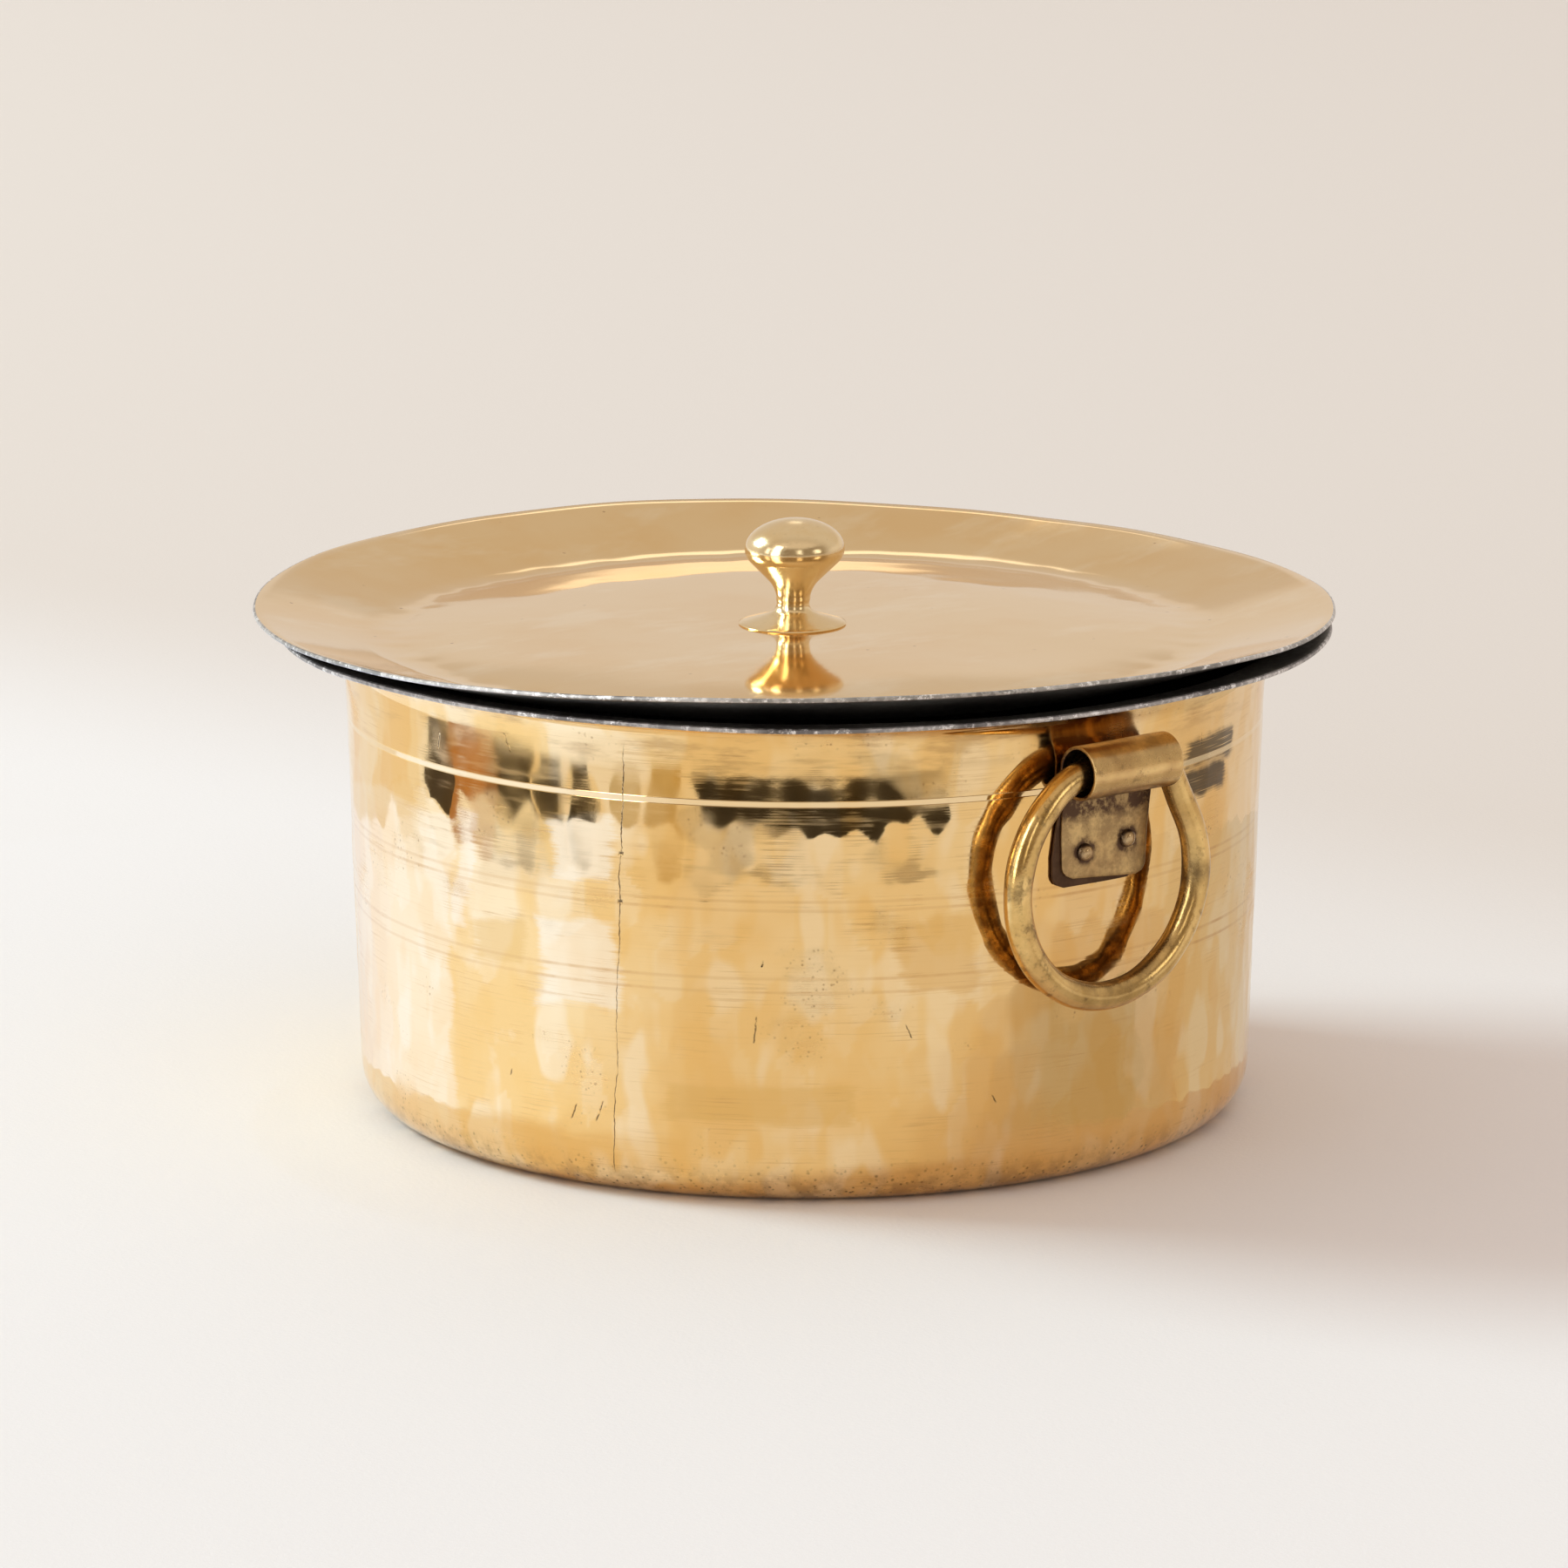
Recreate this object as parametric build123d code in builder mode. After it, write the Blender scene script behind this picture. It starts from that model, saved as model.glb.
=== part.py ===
from build123d import *
from math import atan2, cos, degrees, radians, sin, sqrt, tan
import os

# Low round cooking pot of hammered brass sheet, with a loose lid and two hanging ring handles.
# Millimetres, +Z up. The origin is the centre of the flat underside, the handles stand on +X and -X.

# Handle length of a cubic curve that follows a quarter ellipse, as a share of its radius
QUARTER_ROUND = 0.5523

# Pot body
pot_height = 137.8
base_radius = 126.0
wall_flare = 4.0
neck_radius = base_radius + wall_flare
flange_reach = 18.2
rim_radius = neck_radius + flange_reach
pot_sheet = 1.4
base_corner_radius = 12.0
neck_bend_radius = 8.0
flange_slope = 7.5
line_heights = (112.5, 86.0, 81.0, 66.0, 61.5, 52.0, 38.0)
line_half_width = 0.5
line_depth = 0.2

# Lid
lid_overhang = 4.3
lid_radius = rim_radius + lid_overhang
lid_sheet = 1.25
lid_slope = 16.5
fold_set_in = 11.0
fold_radius = neck_radius - fold_set_in
fold_bend_radius = 6.0
crown_rise = 2.6
lid_clearance = 0.25

# Knob on the lid
foot_radius = 15.2
foot_edge = 0.4
foot_crest = 0.7
foot_edge_set_in = 0.2
foot_slope = 16.4
foot_bend_radius = 3.2
knob_neck_radius = 4.66
knob_neck_bend_radius = 9.0
head_radius = 14.1
head_height = 21.5
head_flank_angle = 45.0
head_edge_radius = 5.2
head_dome = 7.9

# Screw and washer that hold the knob from below
screw_radius = 2.0
screw_hole_play = 0.1
screw_depth = 13.0
screw_head_radius = 3.9
screw_head_height = 2.2
screw_slot_width = 1.0
screw_slot_depth = 1.1
screw_end_gap = 0.8
washer_radius = 7.0
washer_thickness = 1.0
seat_gap = 0.03

# Rings
ring_radius = 31.8
ring_wire_radius = 3.9
eye_play = 0.2

# Lugs: one folded strip each, with an eye for the ring and two tails on the wall
lug_width = 31.2
lug_sheet = 0.95
lug_seat_gap = 0.05
tail_gap = 0.15
eye_above_rivets = 23.1
front_bend_radius = 2.5
front_tail_drop = 8.8
back_tail_drop = 10.4
tail_corner_radius = 3.5

# Rivets
rivets_below_rim = 42.3
rivet_height = pot_height - rivets_below_rim
rivet_pitch = 15.0
rivet_radius = 1.6
rivet_hole_play = 0.05
rivet_head_radius = 2.6
rivet_head_height = 1.5
rivet_foot_radius = 3.2
rivet_foot_height = 1.1

# Wall line and bend under the flange
flange_tilt = radians(flange_slope)
rim_underside = pot_height - pot_sheet * cos(flange_tilt)
neck_height = rim_underside - (rim_radius - neck_radius) * tan(flange_tilt)
wall_tilt = atan2(neck_radius - base_radius, neck_height)
bend_share = neck_bend_radius / (1 + sin(wall_tilt + flange_tilt))
bend_centre_radius = neck_radius + bend_share * (cos(wall_tilt) + sin(flange_tilt))
bend_centre_height = neck_height - bend_share * (sin(wall_tilt) + cos(flange_tilt))

# Lid underside, which rests on the bend of the flange
lid_tilt = radians(lid_slope)
lid_reach = neck_bend_radius + pot_sheet + lid_clearance
lid_contact_radius = bend_centre_radius - lid_reach * sin(lid_tilt)
lid_contact_height = bend_centre_height + lid_reach * cos(lid_tilt)
fold_height = lid_contact_height - (lid_contact_radius - fold_radius) * tan(lid_tilt)
edge_height = fold_height + (lid_radius - fold_radius) * tan(lid_tilt)
crown_height = fold_height + crown_rise
knob_height = crown_height + lid_sheet + seat_gap
washer_top = crown_height - seat_gap
screw_top = washer_top - washer_thickness - seat_gap

# Eye of the lug, wide enough for the ring to hang in it and turn
ring_chord_height = sqrt((ring_radius - ring_wire_radius) ** 2 - (lug_width / 2) ** 2)
eye_bore_radius = (ring_radius + ring_wire_radius - ring_chord_height) / 2 + eye_play
eye_outer_radius = eye_bore_radius + lug_sheet
eye_offset = lug_seat_gap + eye_outer_radius
wall_at_rivets = base_radius + rivet_height * tan(wall_tilt)
eye_x = wall_at_rivets + eye_offset * cos(wall_tilt) + eye_above_rivets * sin(wall_tilt)
eye_z = rivet_height - eye_offset * sin(wall_tilt) + eye_above_rivets * cos(wall_tilt)
ring_z = eye_z - eye_bore_radius - ring_chord_height + eye_play


def upright(height=0.0):
    """Upright plane through the axis, at the height given, with X along +X and Y up."""
    return Plane(origin=(0, 0, height), x_dir=(1, 0, 0), z_dir=(0, -1, 0))


def wall_plane(side):
    """Plane on the outer wall at the rivets of one side, facing away from the pot."""
    outward = (side * cos(wall_tilt), 0, -sin(wall_tilt))
    return Plane(origin=(side * wall_at_rivets, 0, rivet_height), x_dir=(0, 1, 0), z_dir=outward)


# Upright plane across the right lug, with X away from the wall and Y up along it
lug_section = Plane(
    origin=(wall_at_rivets, 0, rivet_height),
    x_dir=(cos(wall_tilt), 0, -sin(wall_tilt)),
    z_dir=(0, -1, 0),
)

# Pot body: one sheet with a flat base, a slightly flared wall and a turned-out rim
with BuildPart() as pot_body:
    with BuildSketch(upright()) as body_section:
        with BuildLine():
            FilletPolyline(
                (0, 0),
                (base_radius, 0),
                (neck_radius, neck_height),
                (rim_radius, rim_underside),
                radius=[base_corner_radius, neck_bend_radius],
            )
            offset(amount=pot_sheet, side=Side.LEFT)
        make_face()
        fillet(body_section.vertices().sort_by(Axis.X)[-2:], radius=0.45 * pot_sheet)
    revolve(axis=Axis.Z)
    # Engraved lines round the wall
    with BuildSketch(upright()):
        with Locations(
            *[
                (base_radius + z * tan(wall_tilt) + line_half_width - line_depth, z)
                for z in line_heights
            ]
        ):
            RegularPolygon(radius=line_half_width, side_count=4)
    revolve(axis=Axis.Z, mode=Mode.SUBTRACT)
    # Rivet holes under both lugs
    for side in (1, -1):
        with BuildSketch(wall_plane(side)):
            with GridLocations(rivet_pitch, 1, 2, 1):
                Circle(rivet_radius + rivet_hole_play)
        extrude(amount=3 * pot_sheet, both=True, mode=Mode.SUBTRACT)

# Lid: a crowned disc with a fold and a sloping brim
with BuildPart() as lid_plate:
    with BuildSketch(upright()) as lid_section:
        with BuildLine():
            TangentArc((0, crown_height), (fold_radius, fold_height), tangent=(1, 0))
            Line((fold_radius, fold_height), (lid_radius, edge_height))
            offset(amount=lid_sheet, side=Side.LEFT)
        make_face()
        fillet(
            lid_section.vertices().sort_by_distance((fold_radius, fold_height))[:2],
            radius=fold_bend_radius,
        )
        fillet(lid_section.vertices().sort_by(Axis.X)[-2:], radius=0.45 * lid_sheet)
    revolve(axis=Axis.Z)
    with BuildSketch(Plane.XY.offset(fold_height)):
        Circle(screw_radius + screw_hole_play)
    extrude(amount=crown_rise + 2 * lid_sheet, mode=Mode.SUBTRACT)

# Knob: a cast mushroom on a thin flared foot, with a blind hole for the screw
flank_run = head_radius - knob_neck_radius
flank_top = head_height - head_edge_radius * tan(radians(head_flank_angle / 2))
flank_foot = flank_top - flank_run * tan(radians(head_flank_angle))
flare_foot = foot_crest + (foot_radius - foot_edge_set_in - knob_neck_radius) * tan(radians(foot_slope))
with BuildPart() as lid_knob:
    with BuildSketch(upright(knob_height)):
        with BuildLine():
            Bezier(
                (head_radius, head_height),
                (head_radius, head_height + QUARTER_ROUND * head_dome),
                (QUARTER_ROUND * head_radius, head_height + head_dome),
                (0, head_height + head_dome),
            )
            FilletPolyline(
                (head_radius, head_height),
                (head_radius, flank_top),
                (knob_neck_radius, flank_foot),
                (knob_neck_radius, flare_foot),
                (foot_radius - foot_edge_set_in, foot_crest),
                radius=[0.99 * head_edge_radius, knob_neck_bend_radius, foot_bend_radius],
            )
            Polyline(
                (foot_radius - foot_edge_set_in, foot_crest),
                (foot_radius, foot_edge),
                (foot_radius, 0),
                (0, 0),
                (0, head_height + head_dome),
            )
        make_face()
    revolve(axis=Axis.Z)
    with BuildSketch(Plane.XY.offset(knob_height)):
        Circle(screw_radius + screw_hole_play)
    extrude(amount=screw_depth, mode=Mode.SUBTRACT)

# Washer under the lid
with BuildPart() as knob_washer:
    with BuildSketch(Plane.XY.offset(washer_top)):
        Circle(washer_radius)
        Circle(screw_radius + screw_hole_play, mode=Mode.SUBTRACT)
    extrude(amount=-washer_thickness)
    fillet(knob_washer.edges().group_by(Axis.Z)[0].sort_by(SortBy.RADIUS)[-1], radius=washer_thickness / 3)

# Slotted screw, up through the washer and the lid into the knob
with BuildPart() as knob_screw:
    with BuildSketch(Plane.XY.offset(screw_top)):
        Circle(screw_radius)
    extrude(amount=knob_height + screw_depth - screw_end_gap - screw_top)
    with BuildSketch(Plane.XY.offset(screw_top)):
        Circle(screw_head_radius)
    extrude(amount=-screw_head_height)
    fillet(knob_screw.edges().group_by(Axis.Z)[0], radius=screw_head_height / 3)
    with BuildSketch(Plane.XY.offset(screw_top - screw_head_height)):
        Rectangle(2 * screw_head_radius, screw_slot_width)
    extrude(amount=screw_slot_depth, mode=Mode.SUBTRACT)

# Right lug: back tail up the wall, round the eye and down again as the front tail.
# The line drawn is the middle of the strip.
eye_line_radius = eye_bore_radius + lug_sheet / 2
back_x = lug_seat_gap + lug_sheet / 2
front_x = back_x + lug_sheet + tail_gap
turn_radius = front_bend_radius + lug_sheet / 2
turn_x = front_x + turn_radius
turn_y = eye_above_rivets - sqrt((turn_radius + eye_line_radius) ** 2 - (eye_offset - turn_x) ** 2)
turn_angle = degrees(atan2(eye_above_rivets - turn_y, eye_offset - turn_x))
with BuildPart() as lug_right:
    with BuildSketch(lug_section):
        with BuildLine():
            Line((back_x, -back_tail_drop), (back_x, eye_above_rivets))
            CenterArc((eye_offset, eye_above_rivets), eye_line_radius, 180, turn_angle - 360)
            CenterArc((turn_x, turn_y), turn_radius, turn_angle, 180 - turn_angle)
            Line((front_x, turn_y), (front_x, -front_tail_drop))
        trace(line_width=lug_sheet)
    extrude(amount=lug_width / 2, both=True)
    fillet(
        lug_right.edges().filter_by(Axis((0, 0, 0), lug_section.x_dir)).sort_by(Axis.Z)[:4],
        radius=tail_corner_radius,
    )
    with BuildSketch(wall_plane(1)):
        with GridLocations(rivet_pitch, 1, 2, 1):
            Circle(rivet_radius + rivet_hole_play)
    extrude(amount=4 * lug_sheet, mode=Mode.SUBTRACT)

with BuildPart() as lug_left:
    mirror(lug_right.part, about=Plane.YZ)

# Right ring: a round bar bent to a closed circle, hanging in the eye
with BuildPart() as ring_right:
    with BuildSketch(Plane.XY.offset(ring_z)):
        with Locations((eye_x, ring_radius)):
            Circle(ring_wire_radius)
    revolve(axis=Axis((eye_x, 0, ring_z), (1, 0, 0)))

with BuildPart() as ring_left:
    mirror(ring_right.part, about=Plane.YZ)

# Rivet along X, with X = 0 on the outer wall: head on the lug, foot spread inside the pot
inner_radius = wall_at_rivets - pot_sheet / cos(wall_tilt)
foot_spread = rivet_pitch / 2 + rivet_foot_radius
foot_seat = -pot_sheet - (inner_radius - sqrt(inner_radius**2 - foot_spread**2)) - rivet_foot_radius * tan(wall_tilt)
head_seat = front_x + lug_sheet / 2 + seat_gap
with BuildPart() as rivet_form:
    with BuildSketch(Plane.XY):
        with BuildLine():
            Line((foot_seat - rivet_foot_height, 0), (head_seat + rivet_head_height, 0))
            TangentArc(
                (head_seat + rivet_head_height, 0),
                (head_seat, rivet_head_radius),
                tangent=(0, 1),
            )
            Polyline(
                (head_seat, rivet_head_radius),
                (head_seat, rivet_radius),
                (foot_seat, rivet_radius),
                (foot_seat, rivet_foot_radius),
            )
            TangentArc(
                (foot_seat - rivet_foot_height, 0),
                (foot_seat, rivet_foot_radius),
                tangent=(0, 1),
            )
        make_face()
    revolve(axis=Axis.X)

rivet_turn = (0, degrees(wall_tilt), 0)
with BuildPart() as rivet_right_front:
    with Locations(Location((wall_at_rivets, -rivet_pitch / 2, rivet_height), rivet_turn)):
        add(rivet_form.part)

with BuildPart() as rivet_right_back:
    with Locations(Location((wall_at_rivets, rivet_pitch / 2, rivet_height), rivet_turn)):
        add(rivet_form.part)

with BuildPart() as rivet_left_front:
    mirror(rivet_right_front.part, about=Plane.YZ)

with BuildPart() as rivet_left_back:
    mirror(rivet_right_back.part, about=Plane.YZ)

pieces = {
    "pot_body": pot_body,
    "lid_plate": lid_plate,
    "lid_knob": lid_knob,
    "knob_washer": knob_washer,
    "knob_screw": knob_screw,
    "lug_right": lug_right,
    "lug_left": lug_left,
    "ring_right": ring_right,
    "ring_left": ring_left,
    "rivet_right_front": rivet_right_front,
    "rivet_right_back": rivet_right_back,
    "rivet_left_front": rivet_left_front,
    "rivet_left_back": rivet_left_back,
}

os.makedirs("parts", exist_ok=True)
for name, piece in pieces.items():
    piece.part.label = name
    export_step(piece.part, f"parts/{name}.step")
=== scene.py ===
import logging
from collections.abc import Callable
from dataclasses import dataclass
from enum import Enum
from functools import reduce
from itertools import pairwise
from math import atan2, cos, pi, radians, sin, sqrt, tan, tau

import bpy
import numpy as np
from mathutils import Matrix, Vector


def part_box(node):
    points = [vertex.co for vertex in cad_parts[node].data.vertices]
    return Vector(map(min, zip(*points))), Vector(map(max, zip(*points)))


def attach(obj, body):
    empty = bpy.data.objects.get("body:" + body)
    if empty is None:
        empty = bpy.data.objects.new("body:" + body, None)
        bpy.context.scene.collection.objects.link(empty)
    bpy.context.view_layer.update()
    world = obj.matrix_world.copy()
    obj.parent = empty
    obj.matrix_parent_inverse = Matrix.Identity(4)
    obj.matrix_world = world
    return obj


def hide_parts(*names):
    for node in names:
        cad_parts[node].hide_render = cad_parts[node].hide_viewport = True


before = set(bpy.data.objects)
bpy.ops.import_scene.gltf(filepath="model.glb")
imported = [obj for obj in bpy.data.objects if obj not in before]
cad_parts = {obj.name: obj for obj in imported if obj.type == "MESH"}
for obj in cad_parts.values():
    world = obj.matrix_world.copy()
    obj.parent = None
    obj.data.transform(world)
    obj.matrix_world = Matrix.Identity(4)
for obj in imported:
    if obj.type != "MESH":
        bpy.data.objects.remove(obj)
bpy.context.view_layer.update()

# The look of a hammered brass cooking pot with a loose lid and two hanging ring handles.
# Metres, +Z up. The handles stand on +X and -X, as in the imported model.

MM = 0.001
MERGE = 0.002 * MM
Piece = bpy.types.Object
Material = bpy.types.Material
Array = np.ndarray
Point = tuple[float, float]
Colour = tuple[float, float, float]
WallTest = Callable[[Array, Array], Array]
log = logging.getLogger("cooking_pot")

# Bearing of the camera round the pot, from +X, and the two level directions of its view
CAMERA_BEARING = radians(-38.6)
TO_CAMERA = np.array((cos(CAMERA_BEARING), sin(CAMERA_BEARING), 0.0))
TO_RIGHT = np.array((-sin(CAMERA_BEARING), cos(CAMERA_BEARING), 0.0))


class Slot(Enum):
    """Names of the pieces' main materials."""

    BODY = "hammered_brass"
    LID = "lid_brass"
    KNOB = "knob_brass"
    RING = "ring_brass"
    LUG = "lug_brass"
    RIVET = "rivet_brass"
    SCREW = "screw_steel"


class Side(Enum):
    """The two handles, with the sign of their X."""

    RIGHT = 1
    LEFT = -1


def studio_point(right: float, away: float, height: float) -> Vector:
    """Places a point by its metres right of the pot's axis and behind it, as the camera sees them."""
    x, y, _ = right * TO_RIGHT - away * TO_CAMERA
    return Vector((x, y, height))


# Sums that the hand work repeats


def part_way(distance: Array, whole: float) -> Array:
    """Says how much of a whole each distance covers, from 0 to 1."""
    return np.clip(distance / whole, 0, 1)


def hump(distance: Array, width: float) -> Array:
    """Soft hump that is 1 at no distance and fades over its width."""
    return np.exp(-((distance / width) ** 2))


def lobed(angle: Array, *lobes: tuple[float, float, float]) -> Array:
    """Adds up sine lobes round a circle, each given as its count, phase and size."""
    return sum(np.sin(count * angle + phase) * size for count, phase, size in lobes)


def polar(points: Array) -> tuple[Array, Array]:
    """Reads rows of x, y and z as radius and angle about the upright axis."""
    return np.hypot(points[:, 0], points[:, 1]), np.arctan2(points[:, 1], points[:, 0])


def set_polar(points: Array, radius: Array, angle: Array) -> None:
    """Writes radius and angle about the upright axis into rows of x, y and z."""
    points[:, 0] = radius * np.cos(angle)
    points[:, 1] = radius * np.sin(angle)


# Lines of points for turned and bent sheet


def arc(centre: Point, radius: float, first: float, sweep: float, parts: int) -> list[Point]:
    """Points along part of a circle, without the one it starts from.

    Args:
        centre: the circle's centre.
        radius: its radius.
        first: angle of the point it starts from.
        sweep: signed angle it runs through.
        parts: how many points it has.

    Returns:
        The points.
    """
    line = []
    for step in range(1, parts + 1):
        angle = first + sweep * step / parts
        line.append((centre[0] + radius * cos(angle), centre[1] + radius * sin(angle)))
    return line


def dome(radius: float, foot: float, rise: float, parts: int) -> list[Point]:
    """Quarter of an ellipse from its foot to the axis, without the point at its foot.

    Args:
        radius: radius of its foot.
        foot: height of its foot.
        rise: how far the point on the axis lies above the foot.
        parts: how many points it has.

    Returns:
        The points, the last one on the axis.
    """
    line = []
    for step in range(1, parts):
        angle = pi / 2 * step / parts
        line.append((radius * cos(angle), foot + rise * sin(angle)))
    return [*line, (0.0, foot + rise)]


def shifted(corners: list[Point], distance: float) -> list[Point]:
    """Moves a line with corners to its left by a sheet's thickness.

    Args:
        corners: the line's corners, in order.
        distance: how far each run moves to its left.

    Returns:
        The corners of the moved line.
    """
    normals = []
    for (x0, y0), (x1, y1) in pairwise(corners):
        length = sqrt((x1 - x0) ** 2 + (y1 - y0) ** 2)
        normals.append(((y0 - y1) / length, (x1 - x0) / length))
    padded = [normals[0], *normals, normals[-1]]
    moved = []
    for (x, y), (ax, ay), (bx, by) in zip(corners, padded, padded[1:]):
        share = distance / (1 + ax * bx + ay * by)
        moved.append((x + (ax + bx) * share, y + (ay + by) * share))
    return moved


def rounded(corners: list[Point], radii: list[float], runs: list[int], bends: int = 8) -> list[Point]:
    """Rounds the inner corners of a line and divides its runs.

    Args:
        corners: the line's corners, in order.
        radii: bend radius of each corner but the first and last.
        runs: how many parts each straight run gets.
        bends: how many parts each bend gets.

    Returns:
        Points along the rounded line.
    """
    starts, ends, arcs = [corners[0]], [], []
    for before, corner, after, radius in zip(corners, corners[1:], corners[2:], radii):
        into = Vector(corner) - Vector(before)
        out = Vector(after) - Vector(corner)
        into.normalize()
        out.normalize()
        turn = into.angle_signed(out) * -1
        reach = radius * tan(abs(turn) / 2)
        start = Vector(corner) - into * reach
        side = Vector((-into.y, into.x)) * (1 if turn > 0 else -1)
        centre = start + side * radius
        first = start - centre
        arc = []
        for step in range(bends + 1):
            angle = turn * step / bends
            spoke = Vector((
                first.x * cos(angle) - first.y * sin(angle),
                first.x * sin(angle) + first.y * cos(angle),
            ))
            arc.append(tuple(centre + spoke))
        arcs.append(arc)
        ends.append(arc[0])
        starts.append(arc[-1])
    ends.append(corners[-1])
    line: list[Point] = [corners[0]]
    for index, (start, end) in enumerate(zip(starts, ends)):
        parts = runs[index]
        for step in range(1, parts + 1):
            share = step / parts
            line.append((start[0] + (end[0] - start[0]) * share, start[1] + (end[1] - start[1]) * share))
        if index < len(arcs):
            line.extend(arcs[index][1:])
    return line


def sheet_edge(outer_end: Point, inner_end: Point, outward: Point, blunt: float = 0.35) -> list[Point]:
    """Blunt cut edge between the two faces of a sheet.

    Args:
        outer_end: where the outer face would end.
        inner_end: where the inner face would end.
        outward: unit direction out of the sheet.
        blunt: how far the corners are worn back, as a share of the thickness.

    Returns:
        Four points round the edge, from the outer face to the inner.
    """
    thick = Vector(inner_end) - Vector(outer_end)
    back = Vector(outward) * thick.length * blunt
    return [
        tuple(Vector(outer_end) - back),
        tuple(Vector(outer_end) + thick * blunt * 0.7),
        tuple(Vector(inner_end) - thick * blunt * 0.7),
        tuple(Vector(inner_end) - back),
    ]


# Meshes


def clear_selection() -> None:
    """Deselects every object, so that an operator acts on the new one alone."""
    bpy.ops.object.select_all(action="DESELECT")


def chain(name: str, line: list[tuple[float, float, float]]) -> Piece:
    """Extrudes one vertex along a line and leaves the object in edit mode, all selected.

    Args:
        name: name of the new piece.
        line: the points to pass through.

    Returns:
        The new object.
    """
    clear_selection()
    bpy.ops.mesh.primitive_plane_add(size=MM)
    made = bpy.context.object
    made.name = made.data.name = name
    bpy.ops.object.mode_set(mode="EDIT")
    bpy.ops.mesh.select_all(action="SELECT")
    bpy.ops.mesh.merge(type="CENTER")
    bpy.ops.transform.translate(value=line[0])
    for here, there in pairwise(line):
        move = tuple(b - a for a, b in zip(here, there))
        bpy.ops.mesh.extrude_region_move(TRANSFORM_OT_translate={"value": move})
    bpy.ops.mesh.select_all(action="SELECT")
    return made


def make_active(piece: Piece) -> None:
    """Selects one piece alone and makes it the active one."""
    clear_selection()
    piece.select_set(True)
    bpy.context.view_layer.objects.active = piece


def close_mesh() -> None:
    """Merges doubles, points the faces outwards and leaves edit mode."""
    bpy.ops.mesh.select_all(action="SELECT")
    bpy.ops.mesh.remove_doubles(threshold=MERGE)
    bpy.ops.mesh.normals_make_consistent(inside=False)
    bpy.ops.object.mode_set(mode="OBJECT")


def close_again(piece: Piece) -> None:
    """Merges a finished piece's doubles and points its faces outwards."""
    make_active(piece)
    bpy.ops.object.mode_set(mode="EDIT")
    close_mesh()


def turned(name: str, profile: list[Point], steps: int) -> Piece:
    """Spins a line of radius and height about the upright axis.

    Args:
        name: name of the new piece.
        profile: points of the line, from the axis back to the axis.
        steps: how many steps the full turn takes.

    Returns:
        The turned piece, closed and smooth.
    """
    made = chain(name, [(radius, 0.0, height) for radius, height in profile])
    bpy.ops.object.mode_set(mode="OBJECT")
    bpy.ops.object.transform_apply(location=True, rotation=False, scale=False)
    merging = {"use_merge_vertices": True, "merge_threshold": MERGE}
    apply_modifier(made, "SCREW", angle=tau, steps=steps, render_steps=steps, **merging)
    close_again(made)
    smooth(made)
    return made


def smooth(piece: Piece, angle: float = 40.0) -> None:
    """Shades a piece smooth, with edges sharper than an angle in degrees left crisp."""
    make_active(piece)
    bpy.ops.object.shade_smooth_by_angle(angle=radians(angle))


def points_of(piece: Piece) -> Array:
    """Reads a piece's vertices as rows of x, y and z."""
    flat = np.empty(3 * len(piece.data.vertices), np.float32)
    piece.data.vertices.foreach_get("co", flat)
    return flat.reshape(-1, 3).astype(float)


def set_points(piece: Piece, points: Array) -> None:
    """Writes a piece's vertices from rows of x, y and z."""
    piece.data.vertices.foreach_set("co", points.astype(np.float32).ravel())
    piece.data.update()


def faces_of(piece: Piece, what: str) -> Array:
    """Reads one vector for each face, such as its center or normal, as rows of x, y and z."""
    flat = np.empty(3 * len(piece.data.polygons), np.float32)
    piece.data.polygons.foreach_get(what, flat)
    return flat.reshape(-1, 3).astype(float)


def dress_sheet(piece: Piece, axis: Array, edge_radius: float) -> None:
    """Shares out a turned sheet's three materials: lower or outer face, upper or inner face, cut edge.

    Args:
        piece: the piece, with its three materials in that order.
        axis: where its axis stands.
        edge_radius: radius from which faces belong to the cut edge.
    """
    centres = faces_of(piece, "center") - axis
    normals = faces_of(piece, "normal")
    radius = np.hypot(centres[:, 0], centres[:, 1])
    outward = (normals[:, 0] * centres[:, 0] + normals[:, 1] * centres[:, 1]) / np.maximum(radius, MM)
    index = np.where(normals[:, 2] > outward, 1, 0)
    index[radius > edge_radius] = 2
    piece.data.polygons.foreach_set("material_index", index.astype(np.int32))


def mark_points(piece: Piece, name: str, values: Array) -> None:
    """Stores one number for each vertex, for a material to read."""
    piece.data.attributes.new(name, "FLOAT", "POINT").data.foreach_set("value", values.astype(np.float32))


def waves(points: Array, sizes: tuple[float, ...], seed: int, crossing: int = 5) -> Array:
    """Soft unevenness made of crossing sine waves, about -1 to 1.

    Args:
        points: rows of x, y and z.
        sizes: wavelengths in metres, the longest first.
        seed: picks the directions and phases.
        crossing: how many waves of each size there are.

    Returns:
        One number for each point.
    """
    draw = np.random.default_rng(seed)
    total = np.zeros(len(points))
    for size in sizes:
        for _ in range(crossing):
            direction = draw.normal(size=3)
            direction /= np.linalg.norm(direction)
            total += np.sin(points @ direction * tau / size + draw.uniform(0, tau)) * size
    return total / (sum(sizes) * crossing / 2)


def apply_modifier(piece: Piece, kind: str, **settings: float | int | str | bool) -> None:
    """Adds a modifier of one of Blender's kinds to a piece, sets it and applies it."""
    make_active(piece)
    modifier = piece.modifiers.new(kind.title(), kind)
    for key, value in settings.items():
        setattr(modifier, key, value)
    bpy.ops.object.modifier_apply(modifier=modifier.name)


# Materials


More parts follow.
